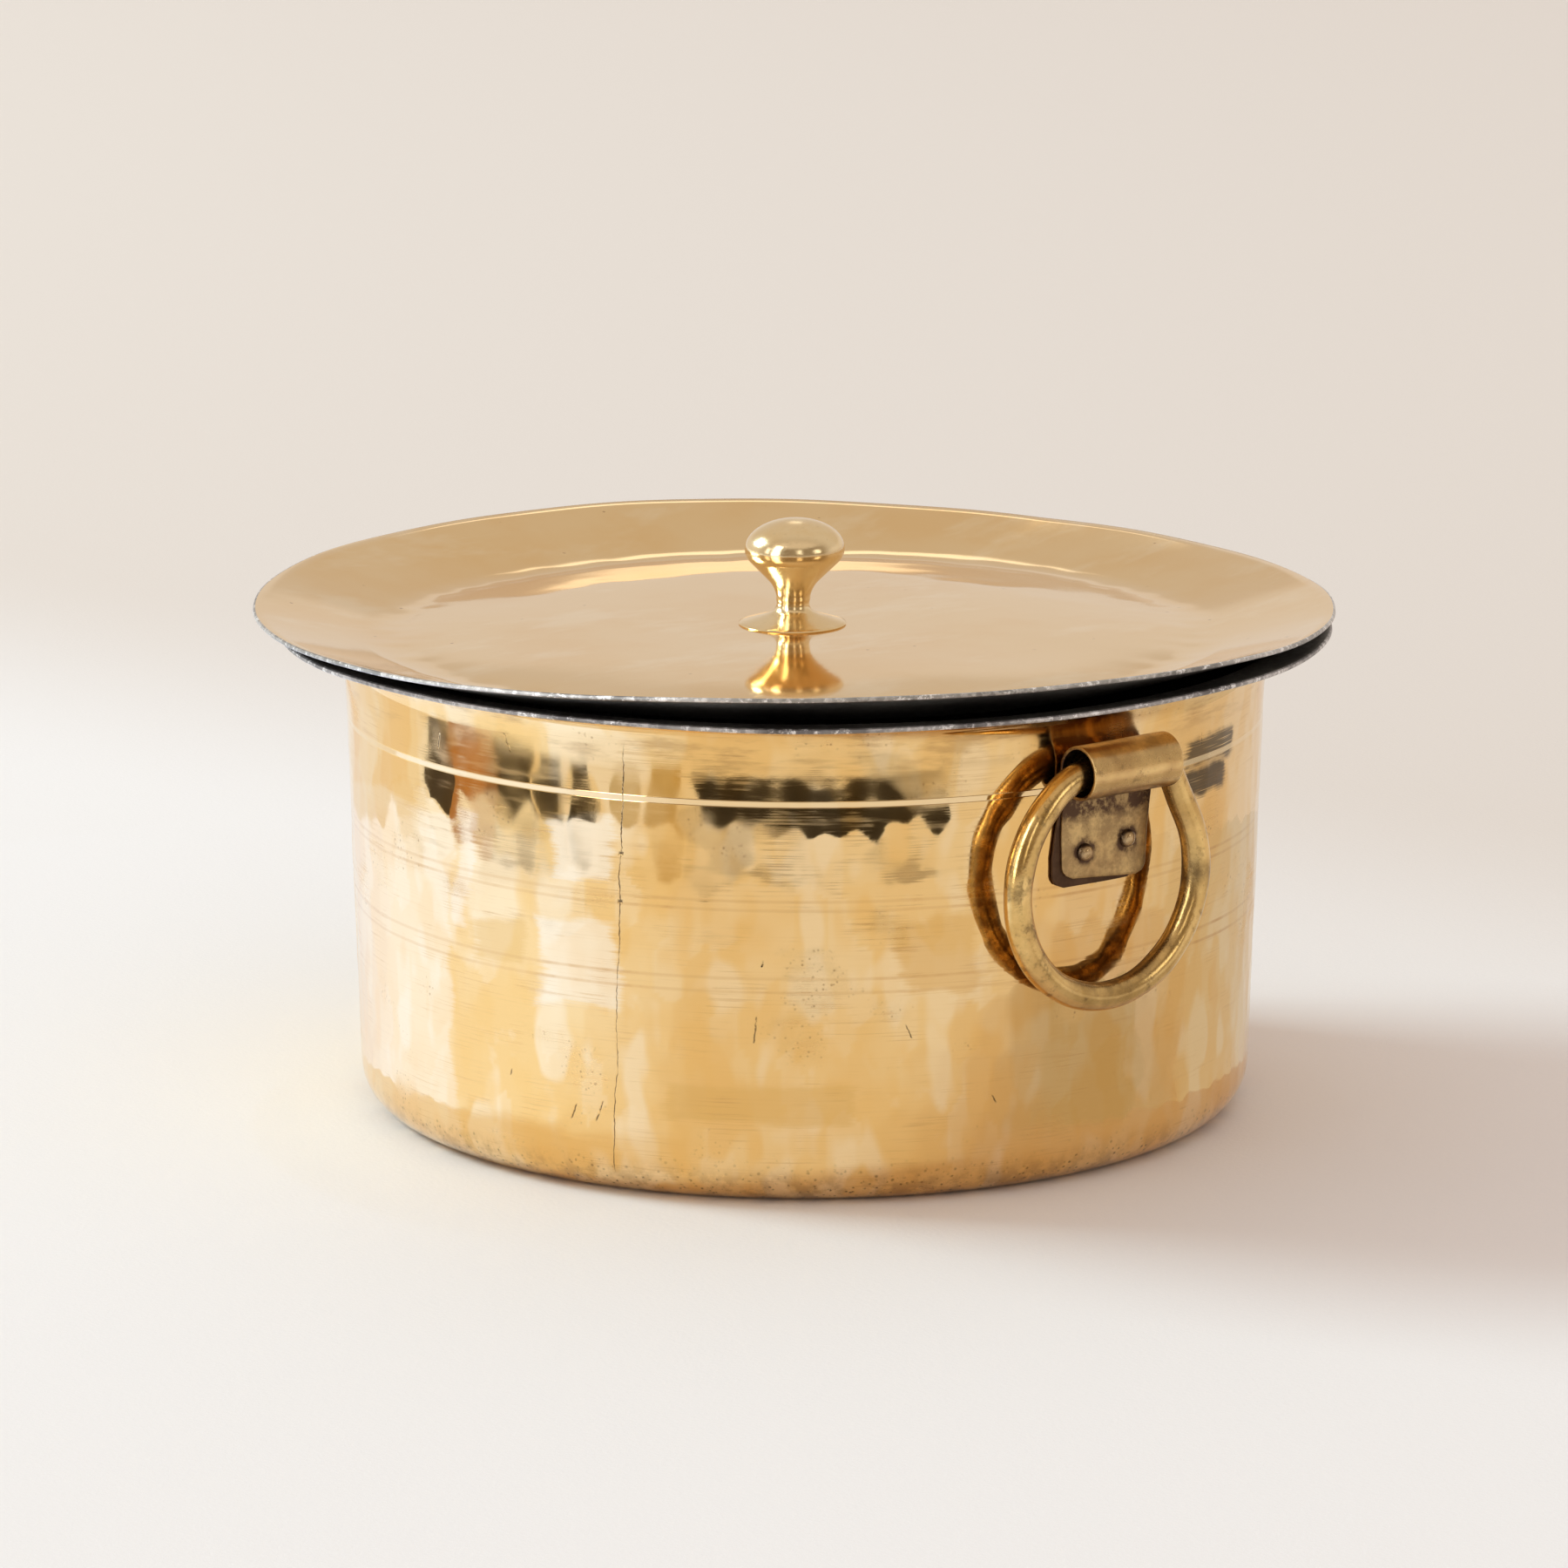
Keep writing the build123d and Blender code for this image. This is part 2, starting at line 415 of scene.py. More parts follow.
def maths(operation: str, swapped: bool = False) -> "Callable[[Wire, Wire | float], Wire]":
    """Makes an operator of Wire that adds one Math node, with its two values swapped if asked."""

    def operator(wire: "Wire", other: "Wire | float") -> "Wire":
        """Adds the node and returns its output."""
        return wire.maths_node(operation, *((other, wire) if swapped else (wire, other)))

    return operator


class Wire:
    """Output of a shader node. Python's operators on it add Math nodes."""

    __add__ = maths("ADD")
    __radd__ = maths("ADD", swapped=True)
    __sub__ = maths("SUBTRACT")
    __rsub__ = maths("SUBTRACT", swapped=True)
    __mul__ = maths("MULTIPLY")
    __rmul__ = maths("MULTIPLY", swapped=True)
    either = maths("MAXIMUM")
    angle_to = maths("ARCTAN2")

    def __init__(self, paint: "Paint", socket: bpy.types.NodeSocket) -> None:
        """Keeps the material and the socket."""
        self.paint = paint
        self.socket = socket

    def maths_node(self, operation: str, *values: "Wire | float") -> "Wire":
        """Adds one Math node and returns its output."""
        node = self.paint.node("ShaderNodeMath", {"operation": operation}, dict(enumerate(values)))
        return Wire(self.paint, node.outputs[0])

    def __abs__(self) -> "Wire":
        """Size without its sign."""
        return self.maths_node("ABSOLUTE", self)

    def root(self) -> "Wire":
        """Square root."""
        return self.maths_node("SQRT", self)

    def step(self, low: float, high: float) -> "Wire":
        """Smooth step from 0 at low to 1 at high."""
        node = self.paint.node(
            "ShaderNodeMapRange",
            {"interpolation_type": "SMOOTHSTEP"},
            {"Value": self, "From Min": low, "From Max": high},
        )
        return Wire(self.paint, node.outputs[0])

    def near(self, centre: "Wire | float", core: float, edge: float) -> "Wire":
        """1 within core of a centre, falling to 0 at edge."""
        return 1 - abs(self - centre).step(core, edge)


class Paint:
    """A material under construction, with its coordinates in millimetres."""

    def __init__(self, name: str) -> None:
        """Makes an empty material with an output node."""
        self.material = bpy.data.materials.new(name)
        self.material.use_nodes = True
        self.start(self.material.node_tree, "ShaderNodeOutputMaterial", "Object")

    @classmethod
    def on_tree(cls, tree: bpy.types.NodeTree, output: str) -> "Paint":
        """Starts on a tree that is no material's, such as the world's.

        Args:
            tree: the node tree.
            output: Blender's name of its output node.

        Returns:
            The paint, whose coordinates are directions times 1000.
        """
        paint = cls.__new__(cls)
        paint.start(tree, output, "Generated")
        return paint

    def start(self, tree: bpy.types.NodeTree, output: str, coordinates: str) -> None:
        """Clears a tree and adds its output node and the texture coordinates of the given name."""
        self.tree = tree
        self.tree.nodes.clear()
        self.output = self.tree.nodes.new(output)
        place = self.node("ShaderNodeTexCoord").outputs[coordinates]
        scaled = self.node(
            "ShaderNodeVectorMath", {"operation": "SCALE"}, {0: Wire(self, place), "Scale": 1 / MM}
        )
        self.place = Wire(self, scaled.outputs[0])
        parts = self.node("ShaderNodeSeparateXYZ", {}, {0: self.place})
        self.x, self.y, self.z = (Wire(self, socket) for socket in parts.outputs)

    def node(self, kind: str, settings: dict | None = None, values: dict | None = None) -> bpy.types.Node:
        """Adds one node.

        Args:
            kind: Blender's name of the node.
            settings: its properties, set first. The key stops holds a ramp's places and colours.
            values: a value or a Wire for each input, by name or number.

        Returns:
            The node.
        """
        made = self.tree.nodes.new(kind)
        for key, setting in (settings or {}).items():
            if key == "stops":
                while len(made.color_ramp.elements) < len(setting):
                    made.color_ramp.elements.new(1.0)
                for element, (place, colour) in zip(made.color_ramp.elements, setting):
                    element.position = place
                    element.color = (*colour, 1.0)
            else:
                setattr(made, key, setting)
        for key, value in (values or {}).items():
            if isinstance(value, Wire):
                self.tree.links.new(value.socket, made.inputs[key])
            else:
                made.inputs[key].default_value = value
        return made

    def stretched(self, x: float, y: float, z: float) -> Wire:
        """Coordinates scaled by a share along each axis."""
        node = self.node("ShaderNodeVectorMath", {"operation": "MULTIPLY"}, {0: self.place, 1: (x, y, z)})
        return Wire(self, node.outputs[0])

    def along(self, direction: Array) -> Wire:
        """Coordinate along a level direction."""
        return self.x * direction[0] + self.y * direction[1]

    def noise(self, size: float, detail: float = 3.0, rough: float = 0.5, place: Wire | None = None) -> Wire:
        """Soft noise from 0 to 1.

        Args:
            size: width of its largest clouds in millimetres.
            detail: how many finer layers it has.
            rough: strength of the finer layers.
            place: coordinates, else the piece's own.

        Returns:
            The noise value.
        """
        values = {"Vector": place or self.place, "Scale": 1 / size, "Detail": detail, "Roughness": rough}
        return Wire(self, self.node("ShaderNodeTexNoise", {}, values).outputs[0])

    def cells(self, size: float, place: Wire | None = None) -> Wire:
        """Distance from the nearest of many scattered points, in shares of their spacing."""
        values = {"Vector": place or self.place, "Scale": 1 / size}
        return Wire(self, self.node("ShaderNodeTexVoronoi", {}, values).outputs["Distance"])

    def attribute(self, name: str) -> Wire:
        """Number stored on the piece's vertices."""
        return Wire(self, self.node("ShaderNodeAttribute", {"attribute_name": name}).outputs["Fac"])

    def mix(self, share: Wire | float, first: Wire | Colour, second: Wire | Colour) -> Wire:
        """Blends two colours.

        Args:
            share: 0 for the first colour, 1 for the second.
            first: colour or Wire.
            second: colour or Wire.

        Returns:
            The blended colour.
        """
        settings = {"data_type": "RGBA", "clamp_factor": True}
        values = {0: share}
        for index, colour in ((6, first), (7, second)):
            values[index] = colour if isinstance(colour, Wire) else (*colour, 1.0)
        return Wire(self, self.node("ShaderNodeMix", settings, values).outputs[2])

    def bump(self, height: Wire, strength: float = 1.0) -> Wire:
        """Normal from a height in millimetres."""
        values = {"Strength": strength, "Distance": MM, "Height": height}
        return Wire(self, self.node("ShaderNodeBump", {}, values).outputs[0])

    def metal(self, colour: Wire, roughness: Wire, normal: Wire, metallic: float = 1.0) -> None:
        """Finishes the material as metal, with the metallic share given."""
        values = {"Base Color": colour, "Roughness": roughness, "Metallic": metallic, "Normal": normal}
        self.surface(self.node("ShaderNodeBsdfPrincipled", {}, values))

    def surface(self, shader: bpy.types.Node) -> None:
        """Links a shader's node to the output."""
        self.tree.links.new(shader.outputs[0], self.output.inputs["Surface"])


@dataclass(frozen=True)
class Nick:
    """Short dark scar on the wall: bearing from the camera in degrees, sizes in millimetres."""

    bearing: float
    height: float
    length: float
    lean: float = 0.0


@dataclass(frozen=True)
class TonePatch:
    """Soft-edged patch of another tone on the wall: bearing and width in degrees, the rest in millimetres."""

    bearing: float
    width: float
    height: float
    rise: float
    colour: Colour
    strength: float = 0.6
    brushed: bool = False


@dataclass(frozen=True)
class HammeredBrass:
    """Outside of the pot: old polished brass sheet with turned lines and a hairline seam."""

    brass: Colour = (0.88, 0.60, 0.265)
    warm: Colour = (0.85, 0.51, 0.165)
    pale: Colour = (0.92, 0.71, 0.42)
    tarnish: Colour = (0.36, 0.20, 0.08)
    line_dirt: Colour = (0.60, 0.33, 0.12)
    soot: Colour = (0.07, 0.045, 0.025)
    band_height: float = 112.5
    lines: tuple[float, ...] = (85.5, 83.0, 64.0, 60.2)
    seam_bearing: float = -23.2
    seam_lean: float = 0.047
    nicks: tuple[Nick, ...] = (
        Nick(-5.9, 50.0, 8.0, 0.1),
        Nick(-29.6, 23.0, 5.0, 0.35),
        Nick(-26.0, 24.0, 6.5, 0.3),
        Nick(12.6, 49.0, 4.5, -0.5),
        Nick(-5.2, 68.5, 2.5, 0.1),
        Nick(24.0, 28.0, 3.0, -0.6),
        Nick(-39.0, 31.0, 2.5, 0.4),
        Nick(57.0, 118.0, 4.0),
        Nick(-50.0, 120.0, 5.0, 0.3),
        Nick(-38.0, 124.0, 5.5, -0.4),
    )
    knots: tuple[float, ...] = (97.0, 83.6)
    wall_radius: float = 129.0
    # The cream patches are painted reflections of the bright floor in the facets, and the broad cream one on
    # the left is a painted highlight on the side towards the lamp; the warm and dark patches are patches of
    # tone
    tone_patches: tuple[TonePatch, ...] = (
        TonePatch(-27.2, 7.2, 98.0, 17.0, (0.95, 0.81, 0.58)),
        TonePatch(-28.4, 11.0, 65.5, 25.0, (0.95, 0.81, 0.58), 0.5),
        TonePatch(-46.5, 4.0, 86.0, 30.0, (0.95, 0.81, 0.60), 0.4),
        TonePatch(-37.5, 11.5, 92.0, 14.0, (0.74, 0.50, 0.24), 0.35, True),
        TonePatch(16.5, 9.0, 69.0, 21.0, (0.74, 0.43, 0.13), 0.55),
        TonePatch(-5.0, 24.0, 29.0, 10.0, (0.75, 0.45, 0.14), 0.55),
        TonePatch(-40.0, 7.5, 68.0, 11.0, (0.76, 0.46, 0.15), 0.6),
        TonePatch(-66.0, 34.0, 48.0, 100.0, (0.95, 0.82, 0.61), 0.3),
        TonePatch(58.5, 12.0, 106.5, 6.5, (0.09, 0.06, 0.03), 0.95, True),
        TonePatch(60.0, 13.0, 114.5, 6.5, (0.10, 0.07, 0.035), 0.92, True),
    )

    def from_place(self, bearing: Wire, place: float) -> Wire:
        """Millimetres round the wall from a place given in degrees from the camera."""
        return (bearing - (CAMERA_BEARING + radians(place))) * self.wall_radius

    def material(self) -> Material:
        """Builds the material."""
        paint = Paint("hammered_brass")
        z = paint.z
        bearing = paint.y.angle_to(paint.x)
        tone = paint.attribute("mark_tone")
        clouds = paint.noise(46.0, 3.0)
        patches = paint.noise(17.0, 4.0, 0.6)
        fine = paint.noise(2.2, 3.0, 0.6)
        streaks = paint.noise(1.0, 2.0, 0.6, paint.stretched(0.04, 0.04, 2.3))
        broad_streaks = paint.noise(1.0, 3.0, 0.6, paint.stretched(0.035, 0.035, 0.35))
        base = paint.mix(clouds.step(0.40, 0.64) * 0.75, self.brass, self.warm)
        # Hammer marks of high tone are painted paler and those of low tone warmer: painted reflections of
        # brighter and duller parts of the room in the facets
        base = paint.mix(tone.step(0.45, 1.0) * 0.28, base, self.pale)
        base = paint.mix((1 - tone).step(0.5, 1.0) * 0.35, base, self.warm)
        base = paint.mix(patches.step(0.60, 0.74) * 0.4, base, self.pale)
        upright = paint.noise(1.0, 2.0, 0.5, paint.stretched(1 / 17, 1 / 17, 1 / 36))
        base = paint.mix(upright.step(0.52, 0.60) * 0.6, base, self.pale)
        base = paint.mix((1 - upright).step(0.53, 0.62) * 0.7, base, self.warm)
        ragged = (patches - 0.5) * 12.0 + (clouds - 0.5) * 26.0 + (streaks - 0.5) * 6.0
        # Patches of another tone: the cream ones are painted reflections, the broad left one a painted
        # highlight
        for tone_patch in self.tone_patches:
            offset = self.from_place(bearing, tone_patch.bearing) + ragged
            half = radians(tone_patch.width) * self.wall_radius / 2
            share = offset.near(0.0, half - 2.2, half + 1.4)
            share = share * (z + ragged * 0.5).near(tone_patch.height, tone_patch.rise / 2 - 1.0, tone_patch.rise / 2 + 1.5)
            if tone_patch.brushed:
                share = share * streaks.step(0.22, 0.42)
            base = paint.mix(share * tone_patch.strength, base, tone_patch.colour)
        hatched = paint.noise(13.0, 2.0).step(0.48, 0.62)
        base = paint.mix(streaks.step(0.54, 0.70) * (0.08 + 0.26 * hatched), base, self.line_dirt)
        # Rubbed specks where the polish missed the hollows
        speck_zone = paint.noise(30.0, 2.0, 0.5, paint.stretched(1.0, 1.0, 1.3)).step(0.56, 0.68)
        specks = (1 - paint.cells(1.5).step(0.12, 0.34)) * fine.step(0.46, 0.58) * speck_zone
        base = paint.mix(specks * 0.6, base, self.tarnish)
        # Turned lines, dark where dirt stayed in them
        wobble = (paint.noise(70.0, 1.0) - 0.5) * 1.6
        grooves = reduce(Wire.either, (z.near(wobble + height, 0.15, 0.65) for height in self.lines))
        dirt = paint.noise(22.0, 4.0, 0.6).step(0.50, 0.70)
        base = paint.mix(grooves * (0.24 + 0.45 * dirt), base, self.line_dirt)
        band = z.near(self.band_height, 0.65, 0.95)
        base = paint.mix(band * 0.7, base, self.pale)
        # Hairline seam with small knots
        drift = (paint.noise(26.0, 2.0, 0.5, paint.stretched(0.02, 0.02, 1.0)) - 0.5) * 4.0
        drift = drift + (60.0 - z) * self.seam_lean
        kinks = (paint.noise(4.0, 3.0, 0.6) - 0.5) * 1.3
        across = self.from_place(bearing, self.seam_bearing) + drift + kinks
        hair = across.near(0.0, 0.05, 0.24) * z.near(67.0, 57.0, 61.0)
        hair = hair * (0.25 + 0.75 * paint.noise(6.0, 3.0, 0.6).step(0.36, 0.58))
        for knot in self.knots:
            hair = hair.either(across.near(0.0, 0.2, 0.9) * z.near(knot, 0.2, 0.7))
        for nick in self.nicks:
            slant = self.from_place(bearing, nick.bearing) - (z - nick.height) * nick.lean
            slant = slant + (patches - 0.5) * 3.0 + (fine - 0.5) * 1.2
            cut = slant.near(0.0, 0.05, 0.36) * z.near(nick.height, nick.length / 2 - 1, nick.length / 2)
            hair = hair.either(cut * fine.step(0.34, 0.52))
        base = paint.mix(hair * 0.85, base, self.soot)
        # Worn and sooty foot
        foot = (1 - z.step(1.0, 14.0)) * paint.noise(7.0, 5.0, 0.7).step(0.42, 0.62)
        base = paint.mix(foot * 0.6, base, self.tarnish)
        foot_specks = (1 - z.step(3.0, 16.0)) * (1 - paint.cells(1.7).step(0.1, 0.4)) * fine.step(0.45, 0.6)
        base = paint.mix(foot_specks * 0.85, base, self.soot)
        # Painted shade under the rim's overhang, in the tarnish colour broken up by noise
        under_rim_shade = paint.noise(9.0, 4.0, 0.65, paint.stretched(0.35, 0.35, 1.6)).step(0.5, 0.68)
        base = paint.mix(z.step(119.0, 126.0) * under_rim_shade * 0.4, base, self.tarnish)
        satin = clouds.step(0.46, 0.62) * 0.07 + hatched * streaks.step(0.4, 0.7) * 0.12
        rough = 0.045 + satin + 0.16 * speck_zone + 0.07 * broad_streaks.step(0.52, 0.7)
        # Height in millimetres: turning marks, grooves, the pressed band and planishing
        band_tilt = (z - self.band_height) * 0.06 * band
        turning = (streaks - 0.5) * (0.0006 + 0.0016 * hatched) + (fine - 0.5) * 0.002
        planish = (paint.noise(9.0, 1.0) - 0.5) * 0.012
        height = (turning + planish) * (1 - band) + band_tilt - grooves * 0.005 - hair * 0.06
        paint.metal(base, rough, paint.bump(height))
        return paint.material


@dataclass(frozen=True)
class LidBrass:
    """Top of the lid: paler polished brass with soft clouds and wiping marks."""

    brass: Colour = (0.86, 0.635, 0.345)
    warm: Colour = (0.83, 0.56, 0.25)
    pale: Colour = (0.91, 0.74, 0.49)
    tarnish: Colour = (0.34, 0.20, 0.09)

    def material(self) -> Material:
        """Builds the material."""
        paint = Paint("lid_brass")
        clouds = paint.noise(60.0, 4.0, 0.55)
        smears = paint.noise(24.0, 4.0, 0.6, paint.stretched(1.0, 0.45, 1.0))
        fine = paint.noise(1.6, 3.0, 0.6)
        base = paint.mix(clouds.step(0.42, 0.66) * 0.7, self.brass, self.warm)
        base = paint.mix(smears.step(0.52, 0.70) * 0.6, base, self.pale)
        spots = (1 - paint.cells(9.0).step(0.03, 0.08)) * paint.noise(25.0, 1.0).step(0.48, 0.56)
        base = paint.mix(spots * 0.8, base, self.tarnish)
        tone_patches = paint.noise(1.0, 2.0, 0.6, paint.stretched(0.9, 0.04, 0.5)).step(0.62, 0.72)
        tone_patches = tone_patches * paint.noise(35.0, 2.0).step(0.55, 0.65)
        base = paint.mix(tone_patches * 0.3, base, self.pale)
        rough = 0.035 + 0.06 * smears + 0.03 * fine + 0.1 * tone_patches
        height = (fine - 0.5) * 0.003 + (smears - 0.5) * 0.04 + tone_patches * 0.003
        paint.metal(base, rough, paint.bump(height))
        return paint.material


@dataclass(frozen=True)
class Tin:
    """Tinned sheet inside the pot, under the lid and on the cut edges."""

    name: str
    light: Colour
    dark: Colour
    roughness: float
    scratch: float = 0.0
    metallic: float = 1.0

    def material(self) -> Material:
        """Builds the material."""
        paint = Paint(self.name)
        clouds = paint.noise(34.0, 4.0, 0.6)
        fine = paint.noise(2.4, 4.0, 0.7)
        base = paint.mix(clouds.step(0.35, 0.65) * 0.6 + fine.step(0.45, 0.6) * 0.4, self.dark, self.light)
        if self.scratch:
            cuts = fine.step(0.52, 0.60) * paint.noise(11.0, 3.0, 0.7).step(0.46, 0.56)
            base = paint.mix(cuts * self.scratch, base, (0.95, 0.94, 0.93))
        rough = self.roughness + 0.2 * clouds
        paint.metal(base, rough, paint.bump((fine - 0.5) * 0.05), self.metallic)
        return paint.material


@dataclass(frozen=True)
class HandleBrass:
    """Brass of the knob, rings, lugs and rivets, from bright to deeply tarnished."""

    name: str
    brass: Colour
    warm: Colour
    tarnish: Colour
    cover: float
    roughness: float
    grain: float = 0.01
    cloud_size: float = 16.0

    def material(self) -> Material:
        """Builds the material."""
        paint = Paint(self.name)
        clouds = paint.noise(self.cloud_size, 4.0, 0.6)
        stains = paint.noise(self.cloud_size * 0.45, 5.0, 0.7)
        fine = paint.noise(0.9, 3.0, 0.65)
        pits = (1 - paint.cells(1.3).step(0.08, 0.3)) * fine.step(0.5, 0.6)
        base = paint.mix(clouds.step(0.38, 0.66) * 0.8, self.brass, self.warm)
        cover = stains.step(0.66 - 0.3 * self.cover, 0.86 - 0.3 * self.cover) * (0.25 + 0.75 * self.cover)
        # The vertices' stored darkening adds stains and painted shade on the lug, the rivets and the rings
        cover = cover.either(paint.attribute("grime") * (0.55 + 0.75 * stains.step(0.34, 0.62)))
        base = paint.mix(cover, base, self.tarnish)
        base = paint.mix(pits * (0.15 + 0.5 * self.cover), base, self.tarnish)
        rough = self.roughness + 0.18 * cover + 0.08 * fine
        height = (fine - 0.5) * self.grain + (stains - 0.5) * self.grain * 7 - pits * self.grain
        paint.metal(base, rough, paint.bump(height))
        return paint.material


@dataclass(frozen=True)
class Steel:
    """Dull steel of the screw."""

    light: Colour = (0.56, 0.55, 0.53)
    dark: Colour = (0.30, 0.28, 0.26)

    def material(self) -> Material:
        """Builds the material."""
        paint = Paint("screw_steel")
        clouds = paint.noise(2.5, 4.0, 0.65)
        base = paint.mix(clouds.step(0.4, 0.65), self.light, self.dark)
        paint.metal(base, 0.3 + 0.25 * clouds, paint.bump((clouds - 0.5) * 0.02))
        return paint.material


# The finishes: tin by its light and dark colour, brass by its bright, warm and tarnished colour
# The tin inside the pot and under the lid is darker than on the cut edges: painted shade where little light
# reaches, under the lid also a duller finish
TINNED_INSIDE = Tin("tinned_inside", (0.36, 0.34, 0.31), (0.16, 0.15, 0.14), roughness=0.38)
TINNED_EDGE = Tin(
    "tinned_edge", (0.72, 0.69, 0.67), (0.13, 0.12, 0.12), roughness=0.34, scratch=0.95, metallic=0.45
)
TINNED_UNDERSIDE = Tin("tinned_underside", (0.22, 0.21, 0.19), (0.10, 0.09, 0.085), roughness=0.42)
BRIGHT_EDGE = Tin(
    "bright_edge", (0.80, 0.77, 0.74), (0.22, 0.21, 0.20), roughness=0.3, scratch=1.0, metallic=0.75
)
KNOB_BRASS = HandleBrass(
    "knob_brass", (0.90, 0.72, 0.44), (0.86, 0.63, 0.32), (0.42, 0.27, 0.12), cover=0.15, roughness=0.14
)
WASHER_BRASS = HandleBrass(
    "washer_brass", (0.78, 0.55, 0.27), (0.70, 0.45, 0.2), (0.25, 0.15, 0.08), cover=0.6, roughness=0.3
)
RIVET_BRASS = HandleBrass(
    "rivet_brass", (0.58, 0.41, 0.22), (0.48, 0.31, 0.15), (0.11, 0.075, 0.055), cover=0.4, roughness=0.22
)
LUG_BRASS = HandleBrass(
    "lug_brass", (0.87, 0.60, 0.26), (0.66, 0.42, 0.175), (0.115, 0.066, 0.04),
    cover=0.38, roughness=0.2, grain=0.012, cloud_size=12.0,
)
RING_BRASS = HandleBrass(
    "ring_brass", (0.88, 0.60, 0.24), (0.62, 0.39, 0.13), (0.15, 0.09, 0.04),
    cover=0.56, roughness=0.13, grain=0.014, cloud_size=12.0,
)


# Hammering


@dataclass
class HammerWork:
    """Rows of overlapping hammer marks on the wall, each a nearly flat dish with its own tilt."""

    radius: float
    low: float
    high: float
    pitch_round: float = 8.6 * MM
    pitch_up: float = 16.0 * MM
    first_row: float = 17.0 * MM
    flat_radius: float = 125.0 * MM
    upright_radius: float = 420.0 * MM
    tilt_round: float = radians(0.35)
    tilt_up: float = radians(0.3)
    uneven: float = 0.007 * MM
    stray_round: float = 0.14
    stray_up: float = 1.7 * MM
    pressed: float = 0.06 * MM
    fade_low: float = 9.0 * MM
    fade_high: float = 8.0 * MM
    batches: int = 60
    seed: int = 11

    def marks(self) -> Array:
        """Lays out the marks.

        Returns:
            Rows of place round the wall, height, two tilts, depth and the tone of its painted reflection.
        """
        draw = np.random.default_rng(self.seed)
        around = tau * self.radius
        count = round(around / self.pitch_round)
        rows = round((self.high - self.first_row) / self.pitch_up) + 1
        laid = []
        for row in range(rows):
            for column in range(count):
                laid.append((
                    (column + 0.5 * (row % 2) + draw.normal(0, self.stray_round)) * around / count,
                    self.first_row + row * self.pitch_up + draw.normal(0, self.stray_up),
                    draw.normal(0, self.tilt_round),
                    draw.normal(0, self.tilt_up),
                    draw.normal(0, self.uneven),
                    draw.uniform(),
                ))
        return np.array(laid)

    def strike(self, piece: Piece, on_wall: WallTest) -> None:
        """Presses the marks into the piece and stores each vertex's tone for the painted reflections in the
        marks.

        Args:
            piece: the turned pot body.
            on_wall: takes the vertices' radius and height and says which lie on the outer wall.
        """
        points = points_of(piece)
        radius, angle = polar(points)
        tone = np.full(len(points), 0.5)
        chosen = np.flatnonzero(on_wall(radius, points[:, 2]))
        marks = self.marks()
        around = tau * self.radius
        moved = radius.copy()
        for part in np.array_split(chosen, self.batches):
            place = (angle[part] % tau)[:, None] * self.radius
            across = (place - marks[None, :, 0] + around / 2) % around - around / 2
            up = points[part, 2][:, None] - marks[None, :, 1]
            dish = across**2 / (2 * self.flat_radius) + up**2 / (2 * self.upright_radius)
            height = dish + across * marks[:, 2] + up * marks[:, 3] + marks[:, 4]
            best = height.argmin(1)
            depth = height[np.arange(len(part)), best] - self.pressed
            level = points[part, 2]
            fade = part_way(level - self.low, self.fade_low) * part_way(self.high - level, self.fade_high)
            moved[part] += depth * fade
            tone[part] = 0.5 + (marks[best, 5] - 0.5) * fade
        set_polar(points, moved, angle)
        set_points(piece, points)
        mark_points(piece, "mark_tone", tone)


# Sub-assemblies


